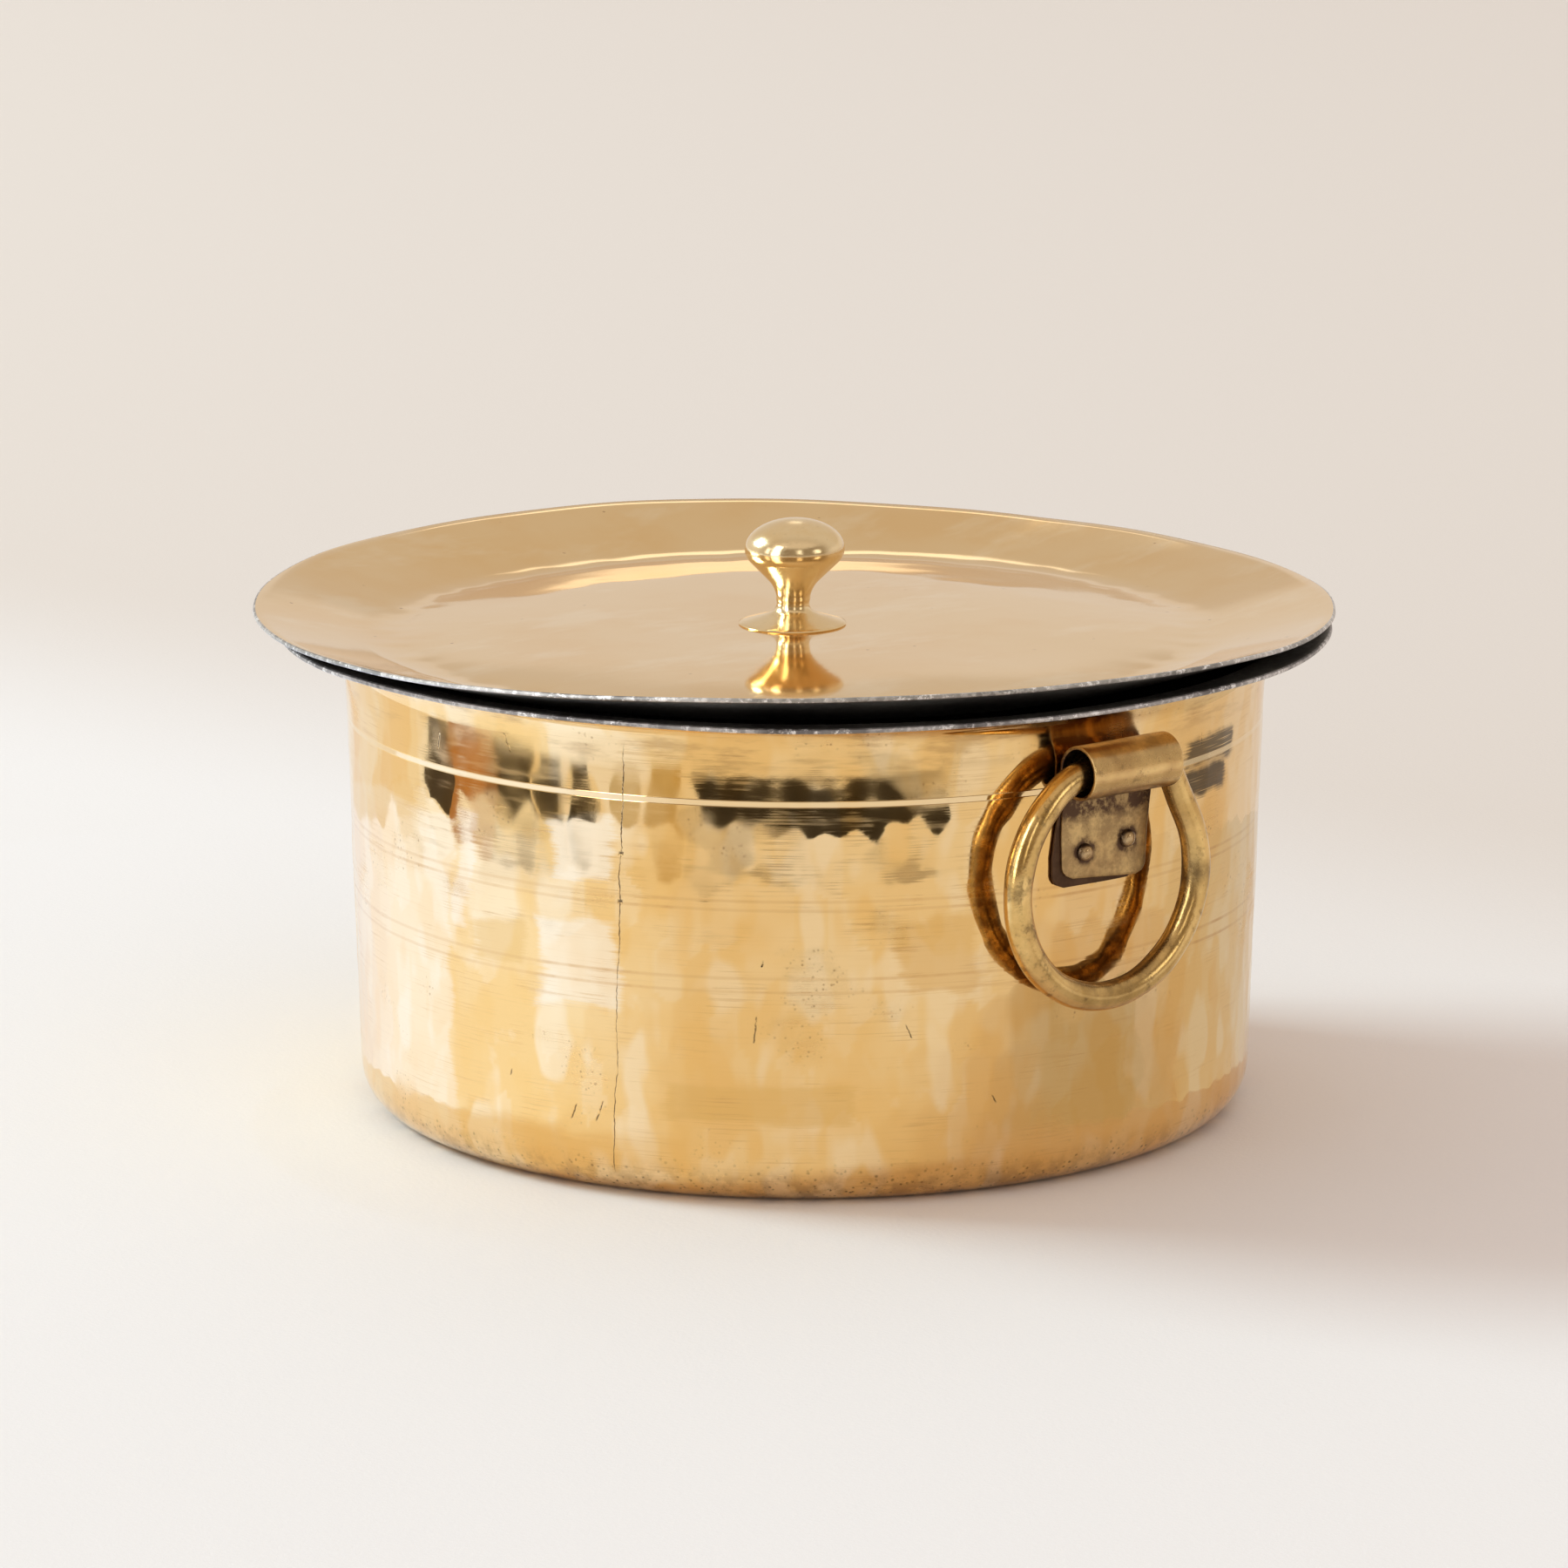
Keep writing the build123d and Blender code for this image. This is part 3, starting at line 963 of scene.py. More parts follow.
@dataclass
class PotBody:
    """Hammered pot: one sheet with a flat base, a flared wall and a turned-out rim."""

    height: float
    base_radius: float = 126.0 * MM
    wall_flare: float = 4.0 * MM
    flange_reach: float = 18.2 * MM
    sheet: float = 1.4 * MM
    corner_radius: float = 12.0 * MM
    neck_bend: float = 8.0 * MM
    flange_slope: float = radians(7.5)
    wall_margin: float = 3.0 * MM
    flare_start: float = 115.4 * MM
    flare_sooner: float = 1.4 * MM
    flare_end: float = 127.5 * MM
    flare_rate: float = 2.35
    flare_bearing: float = radians(-50.0)
    steps: int = 576

    @property
    def neck_radius(self) -> float:
        """Radius where wall and flange would meet."""
        return self.base_radius + self.wall_flare

    @property
    def neck_height(self) -> float:
        """Height where wall and flange would meet."""
        return self.height - self.sheet * cos(self.flange_slope) - self.flange_reach * tan(self.flange_slope)

    @property
    def wall_lean(self) -> float:
        """Outward lean of the wall in radians."""
        return atan2(self.wall_flare, self.neck_height)

    def corners(self) -> list[Point]:
        """Corners of the sheet's outer line, from the axis to the rim."""
        rim = self.neck_radius + self.flange_reach
        return [
            (0.0, 0.0),
            (self.base_radius, 0.0),
            (self.neck_radius, self.neck_height),
            (rim, self.neck_height + self.flange_reach * tan(self.flange_slope)),
        ]

    def build(self) -> Piece:
        """Models the pot, hammers its wall and dresses it.

        Returns:
            The finished piece.
        """
        outer_corners = self.corners()
        inner_corners = shifted(outer_corners, self.sheet)
        outer = rounded(outer_corners, [self.corner_radius, self.neck_bend], runs=[4, 104, 5], bends=8)
        inner_radii = [self.corner_radius - self.sheet, self.neck_bend + self.sheet]
        inner = rounded(inner_corners, inner_radii, runs=[4, 10, 4], bends=6)
        outward = (cos(self.flange_slope), sin(self.flange_slope))
        profile = outer[:-1] + sheet_edge(outer[-1], inner[-1], outward) + inner[-2::-1]
        pot = turned("pot", profile, self.steps)
        work = HammerWork(radius=self.neck_radius, low=4 * MM, high=self.neck_height - 15 * MM)
        work.strike(pot, self.on_wall)
        self.dent(pot)
        for finish in (HammeredBrass(), TINNED_INSIDE, TINNED_EDGE):
            pot.data.materials.append(finish.material())
        edge_from = self.neck_radius + self.flange_reach - 0.62 * self.sheet
        dress_sheet(pot, np.zeros(3), edge_from)
        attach(pot, "pot")
        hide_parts("pot_body")
        return pot

    def on_wall(self, radius: Array, height: Array) -> Array:
        """Says which vertices lie on the outer face of the wall."""
        face = self.base_radius + height * tan(self.wall_lean)
        on_face = radius > face - 0.4 * self.sheet
        return on_face & (height > self.wall_margin) & (height < self.neck_height - self.wall_margin)

    def dent(self, pot: Piece) -> None:
        """Makes the pot as uneven as a hand-worked one: a slightly lobed wall and a wavy rim."""
        points = points_of(pot)
        radius, angle = polar(points)
        upper = part_way(points[:, 2], self.height)
        # The wall starts to flare a little under the bend, soonest on the camera's left
        turn = np.cos(angle - (CAMERA_BEARING + self.flare_bearing))
        start = self.flare_start - self.flare_sooner * np.clip(turn, 0, 1) ** 14
        risen = np.clip(points[:, 2] - start, 0, self.flare_end - start)
        radius = radius + risen**2 * self.flare_rate
        # Lobes all round, but none at the handles, whose rivets hold the wall to its shape
        lobes = lobed(angle, (3, 0.6, 0.25), (5, 2.1, 0.12), (9, 0.0, 0.05)) * MM
        calm = np.clip(6 * np.sin(angle) ** 2, 0, 1)
        grown = radius + lobes * calm * upper * (radius > 0.1)
        rim = part_way(radius - self.neck_radius, self.flange_reach) ** 2
        points[:, 2] += rim * lobed(angle, (4, 1.0, 0.35), (11, 0.0, 0.12)) * MM
        set_polar(points, grown, angle)
        set_points(pot, points)


@dataclass
class Lid:
    """Loose lid: a crowned plate with a fold and a rising brim, warped by hand work."""

    contact_radius: float = 135.048 * MM
    contact_height: float = 136.231 * MM
    radius: float = 152.5 * MM
    sheet: float = 1.25 * MM
    slope: float = radians(16.5)
    fold_radius: float = 116.6 * MM
    fold_bend: float = 34.0 * MM
    crown_rise: float = 2.6 * MM
    crown_power: float = 5.5
    lift: float = 1.4 * MM
    slide_left: float = 3.0 * MM
    warp_from: float = 0.10
    droop: float = -1.6
    second_fold: float = 78.0 * MM
    second_fold_width: float = 19.0 * MM
    second_fold_depth: float = 0.75 * MM
    soft_waves: float = 0.22 * MM
    short_waves: float = 0.11 * MM
    rim_from: float = 130.0 * MM
    crown_rings: int = 30
    steps: int = 480

    @property
    def fold_height(self) -> float:
        """Height of the underside at the fold."""
        return self.contact_height - (self.contact_radius - self.fold_radius) * tan(self.slope)

    @property
    def knob_foot(self) -> float:
        """Height of the top face at the centre."""
        return self.fold_height + self.crown_rise + self.sheet + self.lift

    def crown(self, radius: float) -> float:
        """Height of the crowned underside at a radius inside the fold."""
        return self.fold_height + self.crown_rise * (1 - (radius / self.fold_radius) ** self.crown_power)

    def build(self) -> Piece:
        """Models the plate and dresses it.

        Returns:
            The finished piece.
        """
        crown_edge = self.fold_radius - self.fold_bend * tan(self.slope / 2)
        radii = [crown_edge * step / self.crown_rings for step in range(self.crown_rings)]
        inner = [(r, self.crown(r)) for r in radii]
        reach = self.radius - self.fold_radius
        tip = (self.radius, self.fold_height + reach * tan(self.slope))
        corners = [inner[-1], (self.fold_radius, self.fold_height), tip]
        under = inner[:-1] + rounded(corners, [self.fold_bend], runs=[1, 9], bends=10)
        corner_top = shifted(corners, self.sheet)
        over_inner = [(r, z + self.sheet) for r, z in inner]
        over = over_inner[:-1] + rounded(corner_top, [self.fold_bend], runs=[1, 9], bends=10)
        outward = (cos(self.slope), sin(self.slope))
        profile = under[:-1] + sheet_edge(under[-1], over[-1], outward) + over[-2::-1]
        plate = turned("lid", profile, self.steps)
        set_points(plate, self.placed(self.worked(points_of(plate))))
        for finish in (TINNED_UNDERSIDE, LidBrass(), BRIGHT_EDGE):
            plate.data.materials.append(finish.material())
        dress_sheet(plate, -self.slide_left * TO_RIGHT, self.radius - 0.55 * self.sheet)
        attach(plate, "lid")
        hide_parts("lid_plate")
        return plate

    def worked(self, points: Array) -> Array:
        """Warps and dents the plate.

        Args:
            points: the turned plate's vertices.

        Returns:
            The vertices of the warped plate.
        """
        radius, _ = polar(points)
        angle = np.arctan2(points @ -TO_CAMERA, points @ TO_RIGHT)
        # The edge's height as read from the photograph, in millimetres, its lowest part calmed
        edge = -0.60 * np.cos(angle) - 1.06 * np.sin(angle)
        edge -= 1.50 * np.cos(2 * angle) + 1.38 * np.sin(2 * angle)
        edge = np.where(edge < self.droop, self.droop + (edge - self.droop) * 0.25, edge)
        share = part_way(radius - self.warp_from, self.radius - self.warp_from) ** 2
        points[:, 2] += edge * MM * share
        # A shallow second fold at the back, where the plate was dressed down to meet the brim
        ragged = waves(points * (1, 1, 0), (0.03, 0.014), 9) * 3 * MM
        dressed = part_way(radius + ragged - self.second_fold, self.second_fold_width)
        at_back = np.clip(np.sin(angle) * 1.6 - 0.1, 0, 1)
        points[:, 2] -= self.second_fold_depth * dressed**2 * (3 - 2 * dressed) * at_back
        # Planishing: long soft waves all over, short ones along the fold
        soft = waves(points * (1, 1, 0), (0.09, 0.05), 3) * self.soft_waves
        fold = hump(radius - self.fold_radius + 4 * MM, 7 * MM)
        short = waves(points * (1, 1, 0), (0.016, 0.010), 5) * self.short_waves
        points[:, 2] += soft * part_way(radius, 50 * MM) * np.clip((self.radius - radius) / 0.02, 0.2, 1)
        points[:, 2] += short * fold
        # The cut edge wanders a little
        rim = part_way(radius - self.rim_from, self.radius - self.rim_from) ** 2
        points[:, 2] += rim * lobed(angle, (7, 1.3, 0.16), (17, 0.0, 0.07)) * MM
        return points

    def placed(self, points: Array) -> Array:
        """Moves vertices of the lid's pieces from the axis to where the lid lies."""
        return points - self.slide_left * TO_RIGHT + (0, 0, self.lift)


@dataclass
class Knob:
    """Cast mushroom knob with a thin flared foot and a fine bead, and what holds it from below."""

    lid: Lid
    foot_radius: float = 15.2 * MM
    foot_edge: float = 0.3 * MM
    foot_crest: float = 0.55 * MM
    foot_slope: float = radians(16.4)
    foot_bend: float = 3.2 * MM
    neck_radius: float = 4.66 * MM
    neck_bend: float = 9.0 * MM
    head_radius: float = 14.1 * MM
    head_height: float = 21.6 * MM
    head_flank: float = radians(45.0)
    head_edge: float = 5.15 * MM
    head_dome: float = 8.5 * MM
    bead_heights: tuple[float, float] = (3.1 * MM, 7.2 * MM)
    bead_width: float = 0.33 * MM
    bead_rise: float = 0.32 * MM
    lean: float = 0.03
    foot_shift: float = -0.5 * MM
    washer_radius: float = 7.0 * MM
    washer_thick: float = 1.0 * MM
    washer_bore: float = 2.1 * MM
    washer_edge: float = 0.3 * MM
    screw_head_radius: float = 3.9 * MM
    screw_head_height: float = 2.2 * MM
    screw_shank: Point = (2.0 * MM, 8 * MM)
    slot_width: float = 1.0 * MM
    slot_depth: float = 1.1 * MM

    def build(self) -> list[Piece]:
        """Models the knob, its washer and its screw."""
        pieces = [self.knob(), self.washer(), self.screw()]
        for piece in pieces:
            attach(piece, "lid")
        return pieces

    def knob(self) -> Piece:
        """Turns the knob and dresses it."""
        set_in = 0.2 * MM
        flank_top = self.head_height - self.head_edge * tan(self.head_flank / 2)
        flank_foot = flank_top - (self.head_radius - self.neck_radius) * tan(self.head_flank)
        flare = self.foot_crest + (self.foot_radius - set_in - self.neck_radius) * tan(self.foot_slope)
        corners = [
            (self.foot_radius - set_in, self.foot_crest),
            (self.neck_radius, flare),
            (self.neck_radius, flank_foot),
            (self.head_radius, flank_top),
            (self.head_radius, self.head_height),
        ]
        radii = [self.foot_bend, self.neck_bend, self.head_edge * 0.98]
        stem = rounded(corners, radii, runs=[10, 2, 4, 1], bends=12)
        head = dome(self.head_radius, self.head_height, self.head_dome, 14)
        foot = [(0.0, 0.0), (self.foot_radius - 0.15 * MM, 0.0), (self.foot_radius, self.foot_edge)]
        knob = turned("knob", foot + stem + head, 120)
        points = points_of(knob)
        radius, _ = polar(points)
        for bead_height in self.bead_heights:
            bead = hump(points[:, 2] - bead_height, self.bead_width) * (radius > 3 * MM)
            points[:, :2] *= (1 + bead * self.bead_rise / np.maximum(radius, MM))[:, None]
        points[:, :2] += (self.foot_shift + points[:, 2] * self.lean)[:, None] * TO_RIGHT[:2]
        set_points(knob, self.lid.placed(points + (0, 0, self.lid.knob_foot - self.lid.lift)))
        knob.data.materials.append(KNOB_BRASS.material())
        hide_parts("lid_knob")
        return knob

    def washer(self) -> Piece:
        """Turns the washer under the plate."""
        top = self.lid.knob_foot - self.lid.lift - self.lid.sheet - 0.03 * MM
        low = top - self.washer_thick
        inner, outer = self.washer_bore, self.washer_radius
        bevel = [(outer - self.washer_edge, low), (outer, low + self.washer_edge)]
        profile = [(inner, low), *bevel, (outer, top), (inner, top), (inner, low)]
        washer = turned("knob_washer_plate", profile, 64)
        points = points_of(washer)
        points[:, 2] += waves(points, (0.009,), 8) * 0.04 * MM
        set_points(washer, self.lid.placed(points))
        washer.data.materials.append(WASHER_BRASS.material())
        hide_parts("knob_washer")
        return washer

    def screw(self) -> Piece:
        """Turns the screw and cuts its slot."""
        seat = self.lid.knob_foot - self.lid.lift - self.lid.sheet - self.washer_thick - 0.06 * MM
        low = seat - self.screw_head_height
        head = self.screw_head_radius
        corners = [(0.0, low), (head, low), (head, seat)]
        profile = rounded(corners, [0.7 * MM], runs=[8, 2], bends=5)
        shank, length = self.screw_shank
        profile += [(shank, seat), (shank, seat + length), (0.0, seat + length)]
        screw = turned("knob_screw_head", profile, 72)
        points = points_of(screw)
        in_slot = (np.abs(points[:, 1]) < self.slot_width / 2) & (points[:, 2] < low + 0.3 * MM)
        points[in_slot, 2] += self.slot_depth
        set_points(screw, self.lid.placed(points))
        screw.data.materials.append(Steel().material())
        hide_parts("knob_screw")
        return screw


@dataclass
class Handle:
    """One lug with its two rivets and its hanging ring."""

    side: Side
    pot: PotBody
    rivet_height: float = 95.5 * MM
    rivet_pitch: float = 15.0 * MM
    lug_width: float = 31.2 * MM
    lug_sheet: float = 0.95 * MM
    seat_gap: float = 0.05 * MM
    tail_gap: float = 0.15 * MM
    eye_bore: float = 6.484 * MM
    eye_above: float = 23.1 * MM
    front_bend: float = 2.5 * MM
    front_drop: float = 8.8 * MM
    back_drop: float = 10.4 * MM
    tail_corner: float = 3.5 * MM
    back_shift: float = -2.3 * MM
    rivet_slope: float = 0.125
    ring_radius: float = 31.8 * MM
    wire_radius: float = 3.9 * MM
    ring_below_eye: float = 31.05 * MM
    ring_offset: float = -4.6 * MM
    ring_inset: float = 0.2 * MM
    ring_steps: int = 176
    bar_sides: int = 44
    rivet_foot: Point = (3.2 * MM, 1.1 * MM)
    rivet_head: Point = (2.5 * MM, 1.9 * MM)
    pin_radius: float = 1.6 * MM
    lug_columns: int = 36
    back_tail_face: float = 1.0 * MM
    between_tails: float = 1.06 * MM
    crease_drop: float = 9.5 * MM
    dimple_depth: float = 0.12 * MM
    strip_uneven: float = 0.10 * MM
    front_tail_lean: float = 0.075
    bar_uneven: float = 0.12 * MM
    far_bulge: float = 3.3 * MM
    near_bulge: float = 0.5 * MM
    first_seed: int = 21

    @property
    def seed(self) -> int:
        """Seed of this handle's hand work."""
        return self.first_seed + self.side.value

    @property
    def wall_at_rivets(self) -> float:
        """Radius of the wall at the height of the rivets."""
        return self.pot.base_radius + self.rivet_height * tan(self.pot.wall_lean)

    @property
    def eye_out(self) -> float:
        """Distance of the eye's centre from the wall."""
        return self.seat_gap + self.eye_bore + self.lug_sheet

    def on_pot(self, points: Array) -> Array:
        """Turns points given as out from the wall, round it and up it into the pot's frame.

        Args:
            points: rows of distance from the wall, place along it and height above the rivets.

        Returns:
            The same points in the pot's frame, turned round for the left handle.
        """
        lean = self.pot.wall_lean
        out, along, up = points.T
        x = self.wall_at_rivets + out * cos(lean) + up * sin(lean)
        z = self.rivet_height - out * sin(lean) + up * cos(lean)
        return np.stack((x * self.side.value, along * self.side.value, z), 1)

    def strip_line(self) -> list[Point]:
        """Middle line of the lug's strip: up the wall, round the eye and down again."""
        eye = self.eye_bore + self.lug_sheet / 2
        back = self.seat_gap + self.lug_sheet / 2
        front = back + self.lug_sheet + self.tail_gap
        turn = self.front_bend + self.lug_sheet / 2
        turn_x = front + turn
        turn_y = self.eye_above - sqrt((turn + eye) ** 2 - (self.eye_out - turn_x) ** 2)
        meet = atan2(self.eye_above - turn_y, self.eye_out - turn_x)
        rise = self.eye_above + self.back_drop
        line: list[Point] = [(back, -self.back_drop + rise * step / 32) for step in range(33)]
        line += arc((self.eye_out, self.eye_above), eye, pi, meet - tau, 48)
        line += arc((turn_x, turn_y), turn, meet, pi - meet, 8)
        for step in range(1, 25):
            line.append((front, turn_y + (-self.front_drop - turn_y) * step / 24))
        return line

    def rivet_distances(self, along: Array, up: Array) -> list[Array]:
        """Distance of places on the strip from each of its two rivets."""
        places = (-self.rivet_pitch / 2, self.rivet_pitch / 2)
        return [np.hypot(along - place, up - place * self.rivet_slope) for place in places]

    def lug(self) -> Piece:
        """Folds the lug from one strip and dresses it."""
        line = self.strip_line()
        lug = chain(f"lug_{self.side.name.lower()}_strip", [(out, 0.0, up) for out, up in line])
        move = {"value": (0, self.lug_width / self.lug_columns, 0)}
        for _ in range(self.lug_columns):
            bpy.ops.mesh.extrude_region_move(TRANSFORM_OT_translate=move)
        close_mesh()
        points = points_of(lug)
        share = (points[:, 1] / self.lug_width - 0.5) * 2
        steps = np.hypot(*np.diff(np.array(line), axis=0).T)
        length = np.concatenate(([0.0], np.cumsum(steps)))
        nearest = ((points[:, None, [0, 2]] - np.array(line)[None]) ** 2).sum(2).argmin(1)
        from_end = np.minimum(length[nearest], length[-1] - length[nearest])
        taper = 0.9 * MM
        half = self.lug_width / 2 - taper * np.clip(1 - from_end / (22 * MM), 0, 1)
        round_off = np.clip(self.tail_corner - from_end, 0, self.tail_corner)
        half -= self.tail_corner - np.sqrt(self.tail_corner**2 - round_off**2)
        points[:, 1] = share * half
        set_points(lug, points)
        apply_modifier(lug, "SOLIDIFY", thickness=self.lug_sheet, offset=0.0)
        only_edges = {"limit_method": "ANGLE", "angle_limit": radians(50)}
        apply_modifier(lug, "BEVEL", width=0.18 * MM, segments=2, **only_edges)
        points = points_of(lug)
        mark_points(lug, "grime", self.strip_grime_and_shade(points))
        self.work_strip(points)
        set_points(lug, self.on_pot(points))
        close_again(lug)
        smooth(lug, 50)
        lug.data.materials.append(LUG_BRASS.material())
        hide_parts(f"lug_{self.side.name.lower()}")
        return lug

    def strip_grime_and_shade(self, points: Array) -> Array:
        """Says how dark the strip is at each vertex: tarnish on the tails and dark inside the eye, stains and
        painted shade in the crease under it, painted shade round the rivets, on the eye's top, back and lower
        front and on the back tail.

        Args:
            points: rows of distance from the wall, place along it and height, before hand work.

        Returns:
            One number for each point: 0 is clean, 1 dark, more is black.
        """
        out, along, up = points.T
        # Tarnish on the tails; stains with painted shade in the crease under the eye
        tail = part_way(self.eye_above - self.eye_bore - up, 3 * MM)
        crease = hump(up - self.eye_above + self.crease_drop, 4.5 * MM)
        grime = 0.45 * tail + 0.7 * crease * (out > self.seat_gap + self.lug_sheet)
        # Painted shade on the top of the eye under the rim, on its back towards the wall and under its front
        upper = part_way(up - self.eye_above - 1.5 * MM, 4 * MM)
        behind = part_way(self.eye_out - 0.5 * MM - out, 4 * MM) * (1 - tail)
        grime += np.maximum(0.40 * upper, behind)
        lower = part_way(self.eye_above - 3 * MM - up, 4 * MM) * (out > self.eye_out) * (1 - tail)
        grime += 0.35 * lower
        # Painted shade in a ring round each rivet
        for away in self.rivet_distances(along, up):
            grime += 0.5 * hump(away - 2.9 * MM, 1.1 * MM)
        # Dark inside the eye; the back tail is painted near black as the shadow between the two tails
        inside = np.hypot(out - self.eye_out, up - self.eye_above) < self.eye_bore + 0.3 * self.lug_sheet
        back_tail = (out < self.between_tails) & (tail > 0.5)
        return np.where(back_tail, 1.8, np.where(inside, 0.9, np.minimum(grime, 1)))

    def work_strip(self, points: Array) -> None:
        """Adds hand work to the strip: curled tail, rivet dimples and soft unevenness.

        Args:
            points: rows of distance from the wall, place along it and height, changed in place.
        """
        wall = self.wall_at_rivets
        out, along, up = points[:, 0].copy(), points[:, 1].copy(), points[:, 2].copy()
        # The tails follow the round wall
        follow = part_way(14 * MM - up, 10 * MM)
        points[:, 0] -= (wall - np.sqrt(wall**2 - along**2)) * follow * 0.96
        # The rivets' heads were driven into the front tail
        in_front = out > self.back_tail_face
        on_tail = part_way(6 * MM - np.abs(up), 3 * MM)
        for away in self.rivet_distances(along, up):
            dimple = hump(away, 3.9 * MM) - 0.5 * hump(away - 4.6 * MM, 1.3 * MM)
            points[:, 0] -= dimple * self.dimple_depth * in_front * on_tail
        uneven = waves(points, (0.021, 0.011), self.seed)
        lift = np.clip((up + 12 * MM) / (30 * MM), 0.25, 1)
        points[:, 0] += uneven * self.strip_uneven * lift * in_front
        points[:, 2] += waves(points, (0.03,), self.seed + 1) * self.strip_uneven
        # The two tails were not cut and laid quite alike
        low = part_way(12 * MM - up, 14 * MM)
        points[:, 1] += self.back_shift * low * (out < self.between_tails)
        points[:, 2] -= along * self.front_tail_lean * low * (out > self.between_tails)

    def rivets(self) -> list[Piece]:
        """Makes the two rivets, with the head outside and the foot spread inside the pot."""
        made = []
        foot_radius, foot_rise = self.rivet_foot
        head_radius, head_rise = self.rivet_head
        inner = self.wall_at_rivets - self.pot.sheet
        spread = self.rivet_pitch / 2 + foot_radius
        wall_round = inner - sqrt(inner**2 - spread**2)
        foot_seat = -self.pot.sheet - wall_round - foot_radius * tan(self.pot.wall_lean)
        head_seat = self.seat_gap + 2 * self.lug_sheet + self.tail_gap + 0.03 * MM
        profile = dome(foot_radius, foot_seat, -foot_rise, 8)[::-1]
        profile += [(foot_radius, foot_seat), (self.pin_radius, foot_seat)]
        profile += [(self.pin_radius, head_seat), (head_radius, head_seat)]
        profile += dome(head_radius, head_seat, head_rise, 10)
        dressed = RIVET_BRASS.material()
        for name, sign in (("front", -1), ("back", 1)):
            rivet = turned(f"rivet_{self.side.name.lower()}_{name}_pin", profile, 40)
            points = points_of(rivet)
            # Painted shade in a dark ring round the foot of each rivet's head
            mark_points(rivet, "grime", part_way(polar(points)[0] - 1.5 * MM, 0.8 * MM))
            beaten = waves(points, (0.004, 0.0023), self.seed + sign) * 0.09 * MM
            points += beaten[:, None] * (1, 1, 0.6)
            # The left handle is turned round, so its front rivet is its far one
            place = sign * self.side.value * self.rivet_pitch / 2
            laid = np.stack((points[:, 2], points[:, 0] + place, points[:, 1] + place * self.rivet_slope), 1)
            laid[:, 0] -= (self.wall_at_rivets - sqrt(self.wall_at_rivets**2 - place**2)) * 0.9
            set_points(rivet, self.on_pot(laid))
            rivet.data.materials.append(dressed)
            close_again(rivet)
            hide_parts(f"rivet_{self.side.name.lower()}_{name}")
            made.append(rivet)
        return made

    def ring(self) -> Piece:
        """Bends the ring from a round bar and dresses it."""
        clear_selection()
        place = (0, self.ring_radius, 0)
        bpy.ops.mesh.primitive_circle_add(vertices=self.bar_sides, radius=self.wire_radius, location=place)
        ring = bpy.context.object
        ring.name = ring.data.name = f"ring_{self.side.name.lower()}_bar"
        bpy.ops.object.mode_set(mode="EDIT")
        bpy.ops.mesh.select_all(action="SELECT")
        bpy.ops.mesh.spin(steps=self.ring_steps, angle=tau, center=(0, 0, 0), axis=(1, 0, 0))
        close_mesh()
        bpy.ops.object.transform_apply(location=True, rotation=False, scale=False)
        points = points_of(ring)
        points[:, 1] -= points[:, 1].mean()
        around = np.arctan2(points[:, 1], points[:, 2])
        from_axis = np.hypot(points[:, 1], points[:, 2])
        # Bent by hand: a trace out of round, with a slack bar and a filed joint
        bar = from_axis - self.ring_radius
        round_bar = 1 + lobed(around, (7, self.seed, 0.012), (13, 0.0, 0.01))
        path = self.ring_radius + lobed(around, (2, 1.0, 0.10), (5, 0.0, 0.06)) * MM
        # The bar was pulled outwards on both sides of the eye, on one side more
        in_eye = around * self.side.value
        path += self.far_bulge * hump(in_eye - 0.60, 0.235) + self.near_bulge * hump(in_eye + 0.5, 0.2)
        from_axis = path + bar * round_bar
        joint = hump(around - 2.0, 0.035)
        slack = self.bar_uneven * np.sin(around * 2 + self.seed)
        points[:, 0] = points[:, 0] * (round_bar - 0.03 * joint) + slack
        # Darker in the eye and at the foot, a stain in a patch beside the eye, and painted shade on the side
        # towards the wall and on the inner side of the bar
        grime = 0.7 * hump(in_eye, 0.5) + 0.5 * hump(in_eye - 1.62, 0.10)
        grime += 0.30 * hump(np.abs(in_eye) - pi, 0.7)
        grime += 0.75 * part_way(-points[:, 0] * self.side.value, self.wire_radius)
        grime += 0.45 * part_way(-bar, self.wire_radius) ** 2
        mark_points(ring, "grime", np.clip(grime, 0, 1))
        points[:, 1] = from_axis * np.sin(around)
        points[:, 2] = from_axis * np.cos(around)
        eye = self.on_pot(np.array([[self.eye_out, 0.0, self.eye_above]]))[0]
        points[:, 0] += eye[0] - self.ring_inset * self.side.value
        points[:, 1] += self.ring_offset * self.side.value
        points[:, 2] += eye[2] - self.ring_below_eye
        set_points(ring, points)
        smooth(ring)
        ring.data.materials.append(RING_BRASS.material())
        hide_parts(f"ring_{self.side.name.lower()}")
        return ring

    def build(self) -> list[Piece]:
        """Models the lug, its two rivets and the ring."""
        fixed = [self.lug(), *self.rivets()]
        for piece in fixed:
            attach(piece, "pot")
        ring = self.ring()
        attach(ring, f"{self.side.name.lower()}_ring")
        return [*fixed, ring]


# Studio


@dataclass(frozen=True)
class Card:
    """Sheet lying on the floor out of view, which the wall of the pot mirrors.

    Sizes are in the pot's own terms: bearings on the wall that mirror it, in degrees from the
    camera, and how far its near and far edges lie in front of the wall.
    """

    name: str
    first: float
    last: float
    near: float
    far: float
    colour: Colour


@dataclass(frozen=True)
class LitCard(Card):
    """Card that glows softly, as a sunlit patch of the floor does, with faded ends."""

    fade: float = 0.3


@dataclass(frozen=True)
class Window:
    """Bright pane of the room, seen only in reflections, placed in degrees from the camera's bearing."""

    bearing: float
    width: float
    height: float
    rise: float
    colour: Colour


